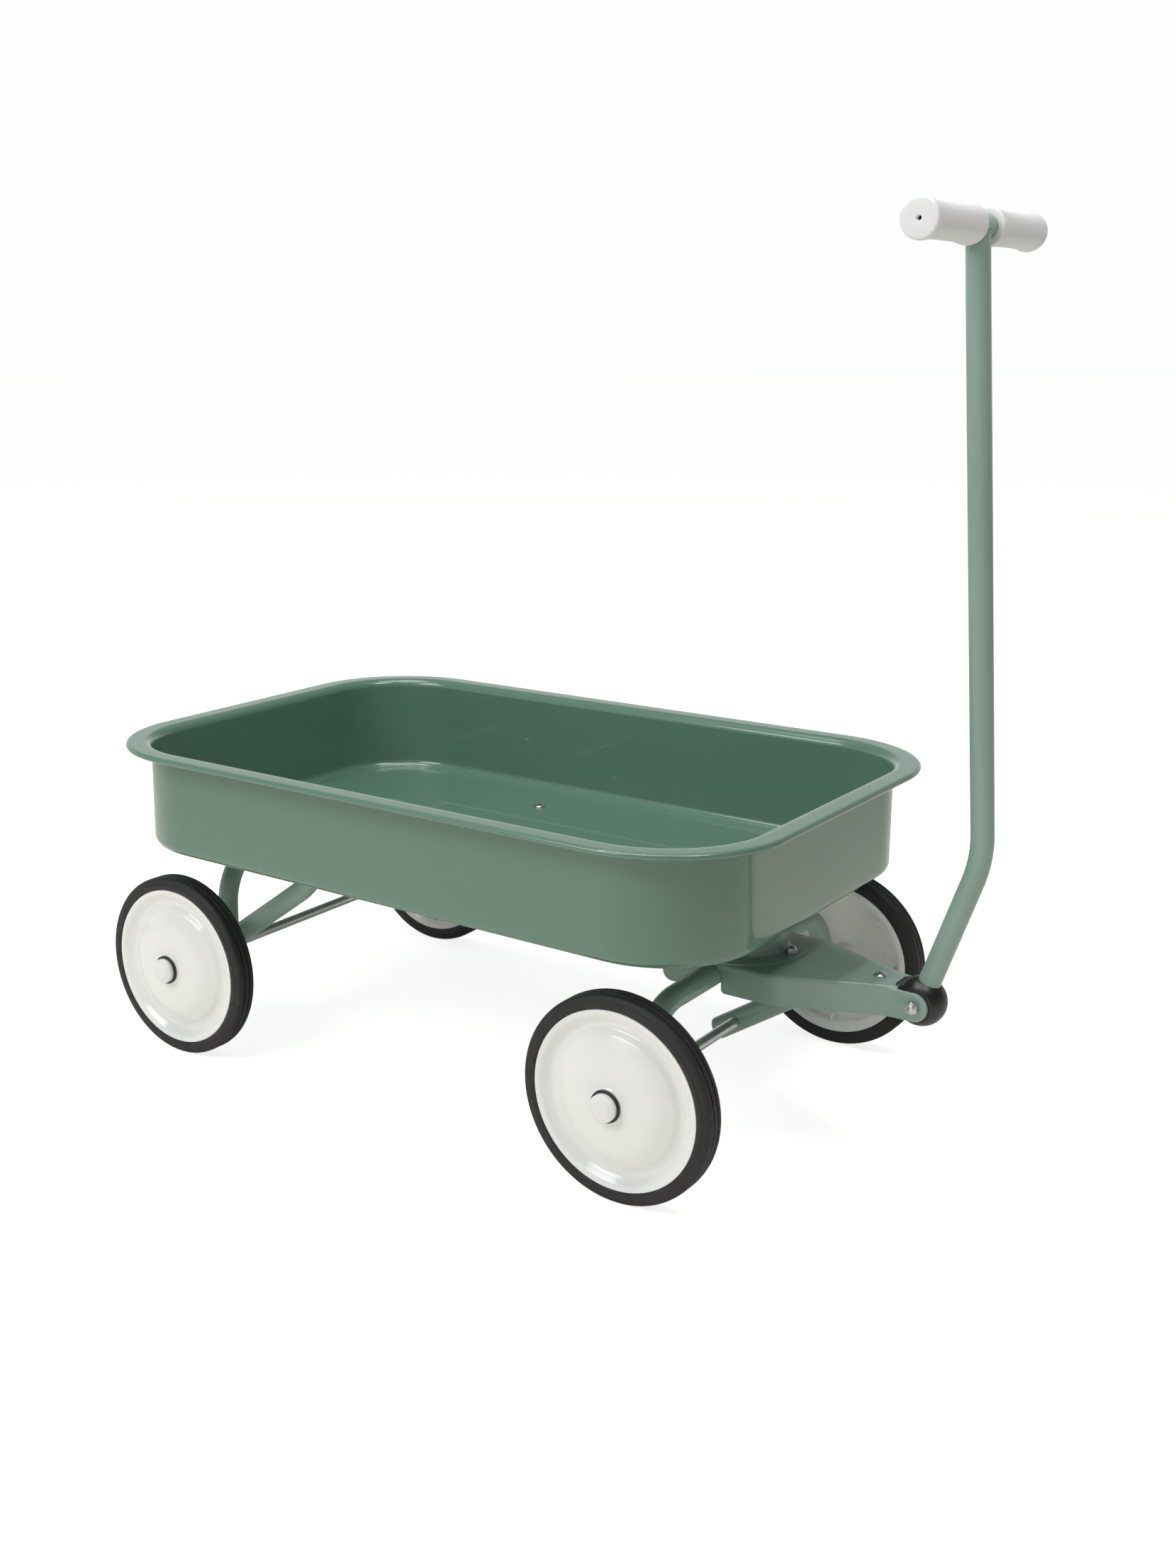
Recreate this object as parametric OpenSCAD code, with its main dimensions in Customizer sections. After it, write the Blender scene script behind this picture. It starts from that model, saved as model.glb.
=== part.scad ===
// Child's steel wagon with a pull handle.
// Deep-drawn tray on two tube frames, solid axles, four disc wheels with rubber tyres,
// a turntable that steers the front frame and a T handle hinged in a folded bracket.
// Millimetres, Z up, X forward towards the handle, Y across. The origin is on the ground
// under the middle of the wagon's overall box.

/* [Tray] */
// overall length of the tray over its rim
tray_length = 708; // [600:5:800]
// overall width of the tray over its rim
tray_width = 472; // [400:5:560]
// plan radius of the rim's corners, outside
rim_corner_r = 115; // [80:5:150]
// height of the rim's top above the ground
rim_top = 305.6; // [280:1:340]
// height of the tray's underside above the ground
tray_under = 202.7; // [180:1:230]
// sheet thickness of the tray
tray_t = 1.2; // [0.8:0.1:2]
// width of the flange outside the wall
flange_w = 24.2; // [15:0.5:35]
// radius where the wall turns out into the flange
flange_r = 8; // [4:1:14]
// radius of the rolled bead round the rim's edge
bead_r = 2.6; // [2:0.1:4]
// outside radius between wall and floor
floor_r = 9; // [5:1:20]
// length of the raised panel in the floor
panel_length = 313; // [200:5:400]
// width of the raised panel in the floor
panel_width = 182; // [120:5:240]
// how far the panel and the two bosses stand up
panel_rise = 1.5; // [1:0.1:3]

/* [Running gear] */
// distance between the two axles
wheelbase = 508; // [450:2:560]
// from the tray's middle back to the rear axle
rear_axle_back = 254; // [200:2:300]
// radius of the tyre's tread
tyre_r = 88.9; // [75:0.1:100]
// width of the tyre
tyre_w = 22; // [16:1:40]
// radius of the wheel disc where it meets the tyre's side
disc_r = 76.8; // [60:0.1:85]
// from the centre line to the outer side of each tyre
half_track = 212.5; // [180:0.5:240]
// diameter of both axles
axle_d = 10; // [8:0.5:16]
// diameter of the frame tubes
frame_d = 20; // [16:0.5:28]
// wall of the frame tubes
tube_wall = 1.5; // [1:0.1:2.5]
// from the centre line to each leg of the rear frame
rear_leg_y = 137; // [110:1:160]
// from the centre line to each leg of the front frame
front_leg_y = 166; // [140:1:170]
// bend radius of the rear frame at the tube's centre
rear_bend_r = 60; // [40:1:90]
// bend radius of the front frame at the tube's centre
front_bend_r = 50; // [30:1:58]
// slope of the rear braces above the horizontal
rear_brace_slope = 36.5; // [30:0.5:50]
// slope of the front brace above the horizontal
front_brace_slope = 33.4; // [25:0.1:45]

/* [Turntable and bracket] */
// top of the bracket's plate above the ground
plate_top = 160.8; // [150:0.1:180]
// sheet thickness of the bracket
bracket_t = 2.5; // [2:0.1:4]
// lower edge of the bracket's side flanges above the ground
flange_low = 134; // [120:1:145]
// half width of the bracket's broad part
bracket_half = 56; // [45:1:70]
// half width over the ears
ear_half = 18.3; // [14:0.1:24]
// radius of the riser's foot
riser_r = 57.5; // [50:0.5:60]

/* [Handle] */
// hinge axis ahead of the rear axle
hinge_x = 677.4; // [650:0.1:700]
// hinge axis above the ground
hinge_z = 147.3; // [140:0.1:155]
// radius of the plastic ball
ball_r = 21.3; // [18:0.1:26]
// diameter of the handle and crossbar tubes
handle_d = 19; // [16:0.5:25]
// lean of the handle's lower leg, forward from upright
lower_lean = 18.7; // [10:0.1:30]
// lean of the handle's long part, back from upright
upper_lean = 3.93; // [0:0.01:10]
// distance from the hinge to the point where the two straight parts would meet
knee_dist = 138.6; // [100:0.1:180]
// distance from that point up to the crossbar
upper_length = 494; // [400:0.1:600]
// bend radius of the handle at the tube's centre
knee_r = 108; // [80:1:160]
// length of each grip
grip_length = 96; // [80:1:120]
// gap between the two grips
grip_gap = 32; // [24:1:50]
// radius of the grips at their swollen ends
grip_r = 15.4; // [13:0.1:20]

/* [Hidden] */
$fn = 96;

// the origin is this far ahead of the rear axle
origin_x = 315;
fine = 0.01;
hair = 0.15;
over = 1;
run_gap = 0.05;      // radial clearance of a bore turning on a shaft
axle_z = tyre_r;
axle_r = axle_d / 2;
frame_r = frame_d / 2;
handle_r = handle_d / 2;
tray_mid_x = rear_axle_back;
steer_x = wheelbase;
// plan half sizes out to the corner arcs' centres
arc_x = tray_length / 2 - rim_corner_r;
arc_y = tray_width / 2 - rim_corner_r;
wall_r = rim_corner_r - flange_w;
floor_top = tray_under + tray_t;
// frames
rear_top_z = tray_under - frame_r;
front_top_z = plate_top - bracket_t - frame_r;
leg_low = axle_z - 15;
brace_y = rear_leg_y + frame_d + 0.5;
brace_screw_x = 190;
brace_screw_y = 138;
tab_t = 3;
// the front brace's screw, ahead of the front axle
brace_reach = 131.5;
// wheel, measured outwards from the outer side of the tyre
hub_out = 9.5;
hub_in = 22;
hub_r = 8.5;
ring_t = 2.5;
cap_t = 6;
tyre_seat_r = 69;
// turntable
riser_top = tray_under - 3.2;
washer_t = 2.9;
foot_t = 1.5;
stud_r = 48.5;
ear_r = (plate_top - 2 - flange_low) / 2;
ear_x = 677;
notch_x = 657.6;
ear_gap = ear_half - bracket_t;

function paint() = [0.50, 0.61, 0.52];
function steel() = [0.75, 0.76, 0.77];
function white() = [0.92, 0.92, 0.90];
function black() = [0.10, 0.10, 0.11];

// moves a piece from rear-axle coordinates to the wagon's origin
module place() { translate([-origin_x, 0, 0]) children(); }

// a cylinder whose axis runs along Y, from y0 to y1
module along_y(r, y0, y1) {
    translate([0, y0, 0]) rotate([-90, 0, 0]) cylinder(h = y1 - y0, r = r);
}

// a hexagonal prism, a = width across flats
module hexagon(a, h) { cylinder(h = h, r = a / sqrt(3), $fn = 6); }

// the children at +y and mirrored to -y
module both_sides() { children(); mirror([0, 1, 0]) children(); }

/* ---- tray ---- */
// section of wall, floor radius and flange; u runs outwards from the corner arc's centre
module wall_section() {
    union() {
        // wall
        translate([wall_r - tray_t, tray_under + floor_r])
            square([tray_t, rim_top - flange_r - tray_under - floor_r]);
        // radius into the floor
        intersection() {
            translate([wall_r - floor_r, tray_under + floor_r]) difference() {
                circle(r = floor_r);
                circle(r = floor_r - tray_t);
            }
            translate([wall_r - floor_r, tray_under]) square([floor_r, floor_r]);
        }
        // radius out into the flange
        intersection() {
            translate([wall_r - tray_t + flange_r, rim_top - flange_r]) difference() {
                circle(r = flange_r);
                circle(r = flange_r - tray_t);
            }
            translate([wall_r - tray_t, rim_top - flange_r]) square([flange_r, flange_r]);
        }
        // flat of the flange
        translate([wall_r - tray_t + flange_r, rim_top - tray_t])
            square([rim_corner_r - bead_r - wall_r + tray_t - flange_r, tray_t]);
        // rolled bead
        translate([rim_corner_r - bead_r, rim_top - bead_r]) difference() {
            circle(r = bead_r);
            circle(r = bead_r - tray_t);
        }
    }
}

// one straight run of the section, facing +u, of the given length
module wall_run(length) {
    rotate([90, 0, 0]) linear_extrude(height = length, center = true) wall_section();
}

// a plan rectangle with rounded corners, centred
module rounded_plan(length, width, r) {
    union() {
        square([length - 2 * r, width], center = true);
        square([length, width - 2 * r], center = true);
        for (sx = [-1, 1], sy = [-1, 1])
            translate([sx * (length / 2 - r), sy * (width / 2 - r)]) circle(r = r);
    }
}

boss_x = 57;
boss_y = 45;
boss_r = 23;

module floor_features(inset) {
    translate([tray_mid_x, 0]) rounded_plan(panel_length - 2 * inset, panel_width - 2 * inset, 11 - inset);
    for (s = [-1, 1]) translate([boss_x, s * boss_y]) circle(r = boss_r - inset);
}

module tray() color(paint()) place() difference() {
    union() {
        translate([tray_mid_x, 0, 0]) {
            for (s = [-1, 1]) {
                translate([s * arc_x, 0, 0]) rotate([0, 0, s > 0 ? 0 : 180]) wall_run(2 * arc_y);
                translate([0, s * arc_y, 0]) rotate([0, 0, s > 0 ? 90 : -90]) wall_run(2 * arc_x);
            }
            for (i = [0:3])
                translate([(i == 0 || i == 3 ? 1 : -1) * arc_x, (i < 2 ? 1 : -1) * arc_y, 0])
                    rotate([0, 0, 90 * i]) rotate_extrude(angle = 90) wall_section();
            translate([0, 0, tray_under]) linear_extrude(height = tray_t)
                rounded_plan(2 * (arc_x + wall_r - floor_r), 2 * (arc_y + wall_r - floor_r),
                             wall_r - floor_r);
        }
        translate([0, 0, tray_under]) linear_extrude(height = tray_t + panel_rise)
            floor_features(0);
    }
    translate([0, 0, tray_under - over]) linear_extrude(height = panel_rise + over)
        floor_features(tray_t);
    floor_holes();
}

// where the floor is screwed down: rear frame, rear braces, then the kingpin
module at_frame_screws() { for (s = [-1, 1]) translate([0, s * 40, 0]) children(); }
module at_brace_screws() {
    for (s = [-1, 1]) translate([brace_screw_x, s * brace_screw_y, 0]) children();
}

module floor_holes() {
    at_frame_screws() cylinder(h = 400, r = 3.2);
    at_brace_screws() cylinder(h = 400, r = 3.2);
    translate([steer_x, 0, 0]) cylinder(h = 400, r = 4.3);
}

// pan-head screw, head resting on z = 0, shank downwards
module pan_screw(head_r, shank_r, length) {
    union() {
        intersection() {
            cylinder(h = head_r * 0.45, r = head_r);
            translate([0, 0, head_r * 0.45 - head_r * 1.5]) sphere(r = head_r * 1.5);
        }
        translate([0, 0, -length]) cylinder(h = length + fine, r = shank_r);
    }
}

module tray_screws() color(steel()) place() translate([0, 0, floor_top]) {
    at_frame_screws() pan_screw(6, 3, 6);
    at_brace_screws() pan_screw(6, 3, 11.4);
}

module tray_nuts() color(steel()) place() at_brace_screws()
    translate([0, 0, tray_under - tab_t - 5.2]) difference() {
        hexagon(10, 5);
        translate([0, 0, -over]) cylinder(h = 7, r = 3.02);
    }

/* ---- frames ---- */
// inverted U of tube in the YZ plane, its top straight at z = top
module u_solid(leg_y, top, bend_r, r, low) {
    union() {
        along_straight(leg_y - bend_r, top, r);
        both_sides() {
            translate([0, leg_y - bend_r, top - bend_r]) rotate([90, 0, 90])
                rotate_extrude(angle = 90) translate([bend_r, 0]) circle(r = r);
            translate([0, leg_y, low]) cylinder(h = top - bend_r - low, r = r);
        }
    }
}

module along_straight(half, z, r) { translate([0, 0, z]) along_y(r, -half, half); }

module u_frame(leg_y, top, bend_r) {
    difference() {
        u_solid(leg_y, top, bend_r, frame_r, leg_low);
        u_solid(leg_y, top, bend_r, frame_r - tube_wall, leg_low - over);
        translate([0, 0, axle_z]) along_y(axle_r + run_gap, -250, 250);
    }
}

module rear_frame() color(paint()) place() difference() {
    u_frame(rear_leg_y, rear_top_z, rear_bend_r);
    at_frame_screws() translate([0, 0, rear_top_z]) cylinder(h = 40, r = 3.1);
}

// straight tube rising forward from the axle to a flat tab
// slope: rise angle; tab_top: height of the tab's upper side; reach: tab screw ahead of the axle
module brace(slope, tab_top, reach, tab_w, toe = 0) {
    run = (tab_top - axle_z) / tan(slope);
    difference() {
        translate([0, 0, axle_z]) rotate([0, 90 - slope, 0]) difference() {
            translate([0, 0, -25]) cylinder(h = 300, r = frame_r);
            translate([0, 0, -26]) cylinder(h = 302, r = frame_r - tube_wall);
        }
        translate([0, 0, tab_top - tab_t]) translate([-50, -50, 0]) cube([500, 100, 300]);
        translate([0, 0, axle_z]) rotate([0, 0, toe]) along_y(axle_r + run_gap + 0.15, -50, 50);
    }
    difference() {
        translate([0, 0, tab_top - tab_t]) linear_extrude(height = tab_t) union() {
            translate([run - 26, -tab_w / 2]) square([reach - run + 26, tab_w]);
            translate([reach, 0]) circle(r = tab_w / 2);
            translate([run - 26, 0]) circle(r = tab_w / 2);
        }
        translate([reach, 0, 0]) cylinder(h = 300, r = 3.2);
    }
}

module rear_brace() {
    reach = sqrt(pow(brace_screw_x, 2) + pow(brace_y - brace_screw_y, 2));
    toe = atan2(brace_y - brace_screw_y, brace_screw_x);
    translate([0, brace_y, 0]) rotate([0, 0, -toe])
        brace(rear_brace_slope, tray_under, reach, 26, toe);
}

module rear_brace_left() color(paint()) place() rear_brace();
module rear_brace_right() color(paint()) place() mirror([0, 1, 0]) rear_brace();

module front_frame() color(paint()) place() translate([steer_x, 0, 0])
    u_frame(front_leg_y, front_top_z, front_bend_r);

module front_brace() color(paint()) place() translate([steer_x, 0, 0])
    brace(front_brace_slope, plate_top - bracket_t, brace_reach, 26);

module brace_screw() color(steel()) place()
    translate([steer_x + brace_reach, 0, plate_top]) pan_screw(6, 3, 13);

module brace_nut() color(steel()) place()
    translate([steer_x + brace_reach, 0, plate_top - bracket_t - tab_t - 5.2]) difference() {
        hexagon(10, 5);
        translate([0, 0, -over]) cylinder(h = 7, r = 3.02);
    }

/* ---- axles and wheels ---- */
module axle_line(at_x) { place() translate([at_x, 0, axle_z]) children(); }

module axle() { along_y(axle_r, -(half_track + hub_out + ring_t + 3), half_track + hub_out + ring_t + 3); }
module rear_axle() color(steel()) axle_line(0) axle();
module front_axle() color(steel()) axle_line(steer_x) axle();

// tube round the axle between frame and wheel hub
module spacer(from) {
    difference() {
        along_y(7.5, from, half_track - hub_in - 0.5);
        along_y(axle_r + run_gap, from - over, half_track);
    }
}
module rear_spacers() color(steel()) axle_line(0) both_sides() spacer(brace_y + frame_r + 1.5);
module front_spacers() color(steel()) axle_line(steer_x) both_sides() spacer(front_leg_y + frame_r + 0.3);

// dark retaining ring between hub and cap
module ring() {
    difference() {
        along_y(13.8, half_track + hub_out + 0.4, half_track + hub_out + ring_t);
        along_y(axle_r, half_track, half_track + 30);
    }
}
module rear_rings() color(black()) axle_line(0) both_sides() ring();
module front_rings() color(black()) axle_line(steer_x) both_sides() ring();

// push-on axle cap with a coned end
module cap() {
    translate([0, half_track + hub_out + ring_t, 0]) rotate([-90, 0, 0]) difference() {
        union() {
            cylinder(h = cap_t - 1.6, r = 11.8);
            translate([0, 0, cap_t - 1.6]) cylinder(h = 2.2, r1 = 11.8, r2 = 7.2);
        }
        translate([0, 0, -fine]) cylinder(h = 3 + fine, r = axle_r);
    }
}
module rear_caps() color(white()) axle_line(0) both_sides() cap();
module front_caps() color(white()) axle_line(steer_x) both_sides() cap();

// half section of the wheel: x = radius, y = outwards from the tyre's outer side
module disc_section() {
    polygon([[axle_r + run_gap, hub_out], [14.5, hub_out], [16, 8.6], [30, 7.4], [42, 5], [47, 2.8],
             [57, -2.2], [61, -3.6], [65, -3.8], [69, -2.4], [72.5, -0.6], [disc_r, 0],
             [disc_r, -1.6], [73, -2.4], [70, -4.2], [tyre_seat_r, -6], [tyre_seat_r, -16],
             [70, -18], [73, -20.2], [75.6, -20.8], [75.6, -22], [71, -21.8], [66.4, -19],
             [66.4, -6.4], [61, -6.2], [56, -4.9], [46, 0.1], [41, 2.3], [29.5, 4.8],
             [15, 6.2], [hub_r, 5], [hub_r, -hub_in],
             [axle_r + run_gap, -hub_in]]);
}

module wheel_disc() {
    rotate([-90, 0, 0]) union() {
        rotate_extrude() disc_section();
        for (i = [0:7]) rotate([0, 0, 45 * i + 10])
            translate([58, -1.2, -17]) cube([9, 2.4, 11.6]);
    }
}

// half section of the tyre with two grooves round the tread
module tyre_section() {
    w = tyre_w;
    difference() {
        polygon([[tyre_seat_r + 0.1, -6.1], [70.1, -4.3], [73.1, -2.55], [disc_r, -1.7],
                 [disc_r + 0.3, -0.3],
                 [78.5, 0.5], [81.8, 0.7], [82.4, 0.1], [85.4, -0.5], [87.4, -1.4], [88.4, -2.6],
                 [tyre_r, -5], [tyre_r, -w + 5], [88.4, -w + 2.6], [87.4, -w + 1.4], [85.4, -w + 0.5],
                 [82.4, -w - 0.1], [81.8, -w - 0.7], [78.5, -w - 0.5], [76.4, -w + 0.4],
                 [75.7, -w + 1.3], [73.1, -w + 1.95], [70.1, -w + 4.1], [tyre_seat_r + 0.1, -w + 6.1]]);
        for (v = [-8, -14]) translate([tyre_r - 1.5, v - 0.7]) square([3, 1.4]);
    }
}

module wheel_at(x, side) {
    axle_line(x) mirror([0, side > 0 ? 0 : 1, 0]) translate([0, half_track, 0]) children();
}
module tyre() { rotate([-90, 0, 0]) rotate_extrude() tyre_section(); }

module wheel_rear_left() color(white()) wheel_at(0, 1) wheel_disc();
module wheel_rear_right() color(white()) wheel_at(0, -1) wheel_disc();
module wheel_front_left() color(white()) wheel_at(steer_x, 1) wheel_disc();
module wheel_front_right() color(white()) wheel_at(steer_x, -1) wheel_disc();
module tyre_rear_left() color(black()) wheel_at(0, 1) tyre();
module tyre_rear_right() color(black()) wheel_at(0, -1) tyre();
module tyre_front_left() color(black()) wheel_at(steer_x, 1) tyre();
module tyre_front_right() color(black()) wheel_at(steer_x, -1) tyre();

/* ---- turntable ---- */
module riser() color(paint()) place() translate([steer_x, 0, 0]) difference() {
    rotate_extrude() polygon([[4 + run_gap, riser_top], [36, riser_top], [37.6, riser_top - 0.8],
        [38, riser_top - 2.5], [40.6, plate_top + 4], [41.6, plate_top + 2.1],
        [43.2, plate_top + foot_t], [riser_r, plate_top + foot_t], [riser_r, plate_top],
        [41.4, plate_top], [39.6, plate_top + 1], [38.5, plate_top + 3.6], [36, riser_top - 2],
        [4 + run_gap, riser_top - 2]]);
    at_studs() cylinder(h = 300, r = 3.2);
}

// the three screws that hold the riser's foot down on the bracket, one of them in front
module at_studs() {
    for (a = [0, 120, 240]) rotate([0, 0, a]) translate([stud_r, 0, 0]) rotate([0, 0, 30]) children();
}

module turn_washer() color(white()) place() translate([steer_x, 0, riser_top + 0.3]) difference() {
    cylinder(h = washer_t, r = 34);
    translate([0, 0, -over]) cylinder(h = washer_t + 2, r = 4.3);
}

module kingpin() color(steel()) place() translate([steer_x, 0, floor_top]) union() {
    intersection() {
        cylinder(h = 4.4, r = 9);
        translate([0, 0, 4.4 - 13]) sphere(r = 13);
    }
    translate([0, 0, -24]) cylinder(h = 24 + fine, r = 4);
}

module kingpin_nut() color(steel()) place() translate([steer_x, 0, riser_top - 2 - 8.3]) difference() {
    hexagon(13, 8);
    translate([0, 0, -over]) cylinder(h = 12, r = 4.02);
}

// screws up through the bracket's plate into dome nuts on the riser's foot
module riser_screws() color(steel()) place() translate([steer_x, 0, plate_top - bracket_t])
    at_studs() mirror([0, 0, 1]) pan_screw(6, 3, 8.2);

module riser_nuts() color(steel()) place() translate([steer_x, 0, plate_top + foot_t])
    at_studs() difference() {
        union() {
            hexagon(10, 4);
            translate([0, 0, 4]) intersection() {
                translate([0, 0, -1.5]) sphere(r = 4.6);
                cylinder(h = 6, r = 6);
            }
        }
        translate([0, 0, -over]) cylinder(h = 5.6, r = 3.02);
    }

/* ---- bracket ---- */
bracket_back = 460;      // rear edge, ahead of the rear axle
taper_from = 565;        // the sides run in from here
taper_to = 655;          // to here, where the ears begin

module bracket_plan(inset, end_x) {
    polygon([[bracket_back - (inset > 0 ? over : 0), -bracket_half + inset],
             [taper_from, -bracket_half + inset], [taper_to, -ear_half + inset],
             [end_x, -ear_half + inset], [end_x, ear_half - inset],
             [taper_to, ear_half - inset], [taper_from, bracket_half - inset],
             [bracket_back - (inset > 0 ? over : 0), bracket_half - inset]]);
}

// side view of the flanges: rounded rear corners, a slot for the frame tube, round ear
module bracket_side() {
    top = plate_top;
    difference() {
        union() {
            translate([bracket_back, flange_low]) square([ear_x - bracket_back, top - flange_low]);
            translate([ear_x, flange_low + ear_r]) circle(r = ear_r);
        }
        // top edge of the ears, a little below the plate
        translate([taper_to + 6, flange_low + 2 * ear_r]) square([60, 10]);
        // rounded rear lower corner
        difference() {
            translate([bracket_back - fine, flange_low - fine]) square([9, 9]);
            translate([bracket_back + 9, flange_low + 9]) circle(r = 9);
        }
        // slot for the tube with rounded mouth
        translate([steer_x, front_top_z]) circle(r = frame_r + 0.1);
        translate([steer_x - frame_r - 0.1, flange_low - over])
            square([frame_d + 0.2, front_top_z - flange_low + over]);
        for (s = [-1, 1]) difference() {
            translate([steer_x + s * (frame_r + 2.1) - 2, flange_low - fine]) square([4, 4]);
            translate([steer_x + s * (frame_r + 4.1), flange_low + 4]) circle(r = 4);
        }
        // hinge bolt
        translate([hinge_x, hinge_z]) circle(r = 3.2);
    }
}

// bar with one rounded-off long edge removed from the bend along a side
module bend_cutter(x0, y0, x1, y1) {
    a = atan2(y1 - y0, x1 - x0);
    len = sqrt(pow(x1 - x0, 2) + pow(y1 - y0, 2));
    translate([x0, y0, plate_top]) rotate([0, 0, a]) rotate([90, 0, 90])
        linear_extrude(height = len) difference() {
            translate([-over, -4]) square([4 + over, 4 + over]);
            translate([4, -4]) circle(r = 4);
        }
}

module bracket() color(paint()) place() difference() {
    intersection() {
        translate([0, 0, flange_low - 2]) linear_extrude(height = 60) bracket_plan(0, 700);
        translate([0, 100, 0]) rotate([90, 0, 0]) linear_extrude(height = 200) bracket_side();
    }
    translate([0, 0, flange_low - 5])
        linear_extrude(height = plate_top - bracket_t - flange_low + 5) bracket_plan(bracket_t, 701);
    both_sides() {
        bend_cutter(bracket_back - over, -bracket_half, taper_from, -bracket_half);
        bend_cutter(taper_from, -bracket_half, taper_to, -ear_half);
    }
    // open end of the plate between the ears, with round inner corners
    translate([notch_x, 0, plate_top - bracket_t - over]) linear_extrude(height = 20) union() {
        translate([8, -ear_gap]) square([60, 2 * ear_gap]);
        translate([0, -ear_gap + 8]) square([20, 2 * (ear_gap - 8)]);
        for (s = [-1, 1]) translate([8, s * (ear_gap - 8)]) circle(r = 8);
    }
    translate([steer_x, 0, 0]) at_studs() cylinder(h = 300, r = 3.2);
    translate([steer_x + brace_reach, 0, 0]) cylinder(h = 300, r = 3.2);
}

/* ---- handle ---- */
module hinge_frame() { place() translate([hinge_x, 0, hinge_z]) rotate([0, lower_lean, 0]) children(); }

knee_turn = lower_lean + upper_lean;
knee_tangent = knee_r * tan(knee_turn / 2);
lower_end = knee_dist - knee_tangent;
socket_from = 7;
// the tube stops this far below the crossbar's centre
saddle_drop = 7;

// the handle's path from the ball up, z along the lower leg; the straight parts are drawn
// a hair thinner and run a little way into the bend
module handle_solid(r, from, extra) {
    union() {
        translate([0, 0, from]) cylinder(h = lower_end - from + over, r = r - hair);
        translate([-knee_r, 0, lower_end]) rotate([90, 0, 0])
            rotate_extrude(angle = knee_turn) translate([knee_r, 0]) circle(r = r);
        to_knee_end() translate([0, 0, -over])
            cylinder(h = upper_length - knee_tangent + extra + over, r = r - hair);
    }
}

module to_knee_end() {
    translate([-knee_r + knee_r * cos(knee_turn), 0, lower_end + knee_r * sin(knee_turn)])
        rotate([0, -knee_turn, 0]) children();
}

module to_crossbar() { to_knee_end() translate([0, 0, upper_length - knee_tangent]) children(); }

module handle_tube() color(paint()) hinge_frame() difference() {
    handle_solid(handle_r, socket_from, -saddle_drop);
    handle_solid(handle_r - tube_wall, socket_from - over, over);
    to_crossbar() along_y(handle_r + fine, -40, 40);
}

module crossbar() color(paint()) hinge_frame() to_crossbar() difference() {
    along_y(handle_r, -(grip_gap / 2 + grip_length - 4), grip_gap / 2 + grip_length - 4);
    along_y(handle_r - tube_wall, -200, 200);
}

// grip from y = 0 outwards: swollen ends, slimmer waist, small hole in the closed end
module grip() {
    g = grip_r;
    len = grip_length;
    rotate([-90, 0, 0]) difference() {
        rotate_extrude() polygon([[0, 0], [g - 1.7, 0], [g - 0.6, 0.5], [g, 2], [g, 5], [g - 0.4, 9],
            [g - 0.9, 14], [g - 1.4, 19], [g - 1.7, 26], [g - 1.8, 48], [g - 1.7, len - 26],
            [g - 1.4, len - 19], [g - 0.9, len - 14], [g - 0.4, len - 9], [g, len - 5],
            [g, len - 2], [g - 0.6, len - 0.5], [g - 1.6, len], [0, len]]);
        translate([0, 0, -over]) cylinder(h = grip_length - 4 + over, r = handle_r + 0.02);
        cylinder(h = grip_length + over, r = 1.6);
    }
}
module grip_left() color(white()) hinge_frame() to_crossbar() translate([0, grip_gap / 2, 0]) grip();
module grip_right() color(white()) hinge_frame() to_crossbar() mirror([0, 1, 0])
    translate([0, grip_gap / 2, 0]) grip();

module handle_ball() color(black()) hinge_frame() difference() {
    intersection() {
        sphere(r = ball_r);
        along_y(40, -(ear_gap - 0.3), ear_gap - 0.3);
    }
    translate([0, 0, socket_from]) cylinder(h = 40, r = handle_r + 0.02);
    along_y(3 + run_gap, -30, 30);
}

module hinge_bolt() color(steel()) place() translate([hinge_x, 0, hinge_z]) union() {
    along_y(3, -(ear_half + 7.2), ear_half + 0.1);
    translate([0, ear_half + 0.1, 0]) rotate([-90, 0, 0]) hexagon(10, 4);
}

module hinge_nut() color(steel()) place() translate([hinge_x, -(ear_half + 0.2), hinge_z])
    rotate([90, 0, 0]) difference() {
        union() {
            hexagon(10, 4.8);
            cylinder(h = 6.2, r = 4.3);
        }
        translate([0, 0, -over]) cylinder(h = 9, r = 3.02);
    }

tray();
tray_screws();
tray_nuts();
rear_frame();
rear_brace_left();
rear_brace_right();
rear_axle();
rear_spacers();
rear_caps();
rear_rings();
wheel_rear_left();
tyre_rear_left();
wheel_rear_right();
tyre_rear_right();
riser();
turn_washer();
kingpin();
kingpin_nut();
bracket();
riser_screws();
riser_nuts();
front_frame();
front_brace();
brace_screw();
brace_nut();
front_axle();
front_spacers();
front_caps();
front_rings();
wheel_front_left();
tyre_front_left();
wheel_front_right();
tyre_front_right();
handle_ball();
hinge_bolt();
hinge_nut();
handle_tube();
crossbar();
grip_left();
grip_right();
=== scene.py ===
# %% [markdown]
# # A child's steel wagon with a pull handle
#
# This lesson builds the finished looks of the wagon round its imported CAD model. Each cell
# makes one group of pieces the way the maker would: the tray is pressed from one sheet, the
# frames are bent from tube, the wheels are moulded and the tyres are stretched onto them.
# Sizes are in millimetres in the shape code and become metres when a mesh is made.
#
# Axes: X runs forward towards the handle, Y to the wagon's left, Z up. The ground is Z = 0.

import math

import bmesh
import bpy
import numpy as np
from mathutils import Matrix, Vector


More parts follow.
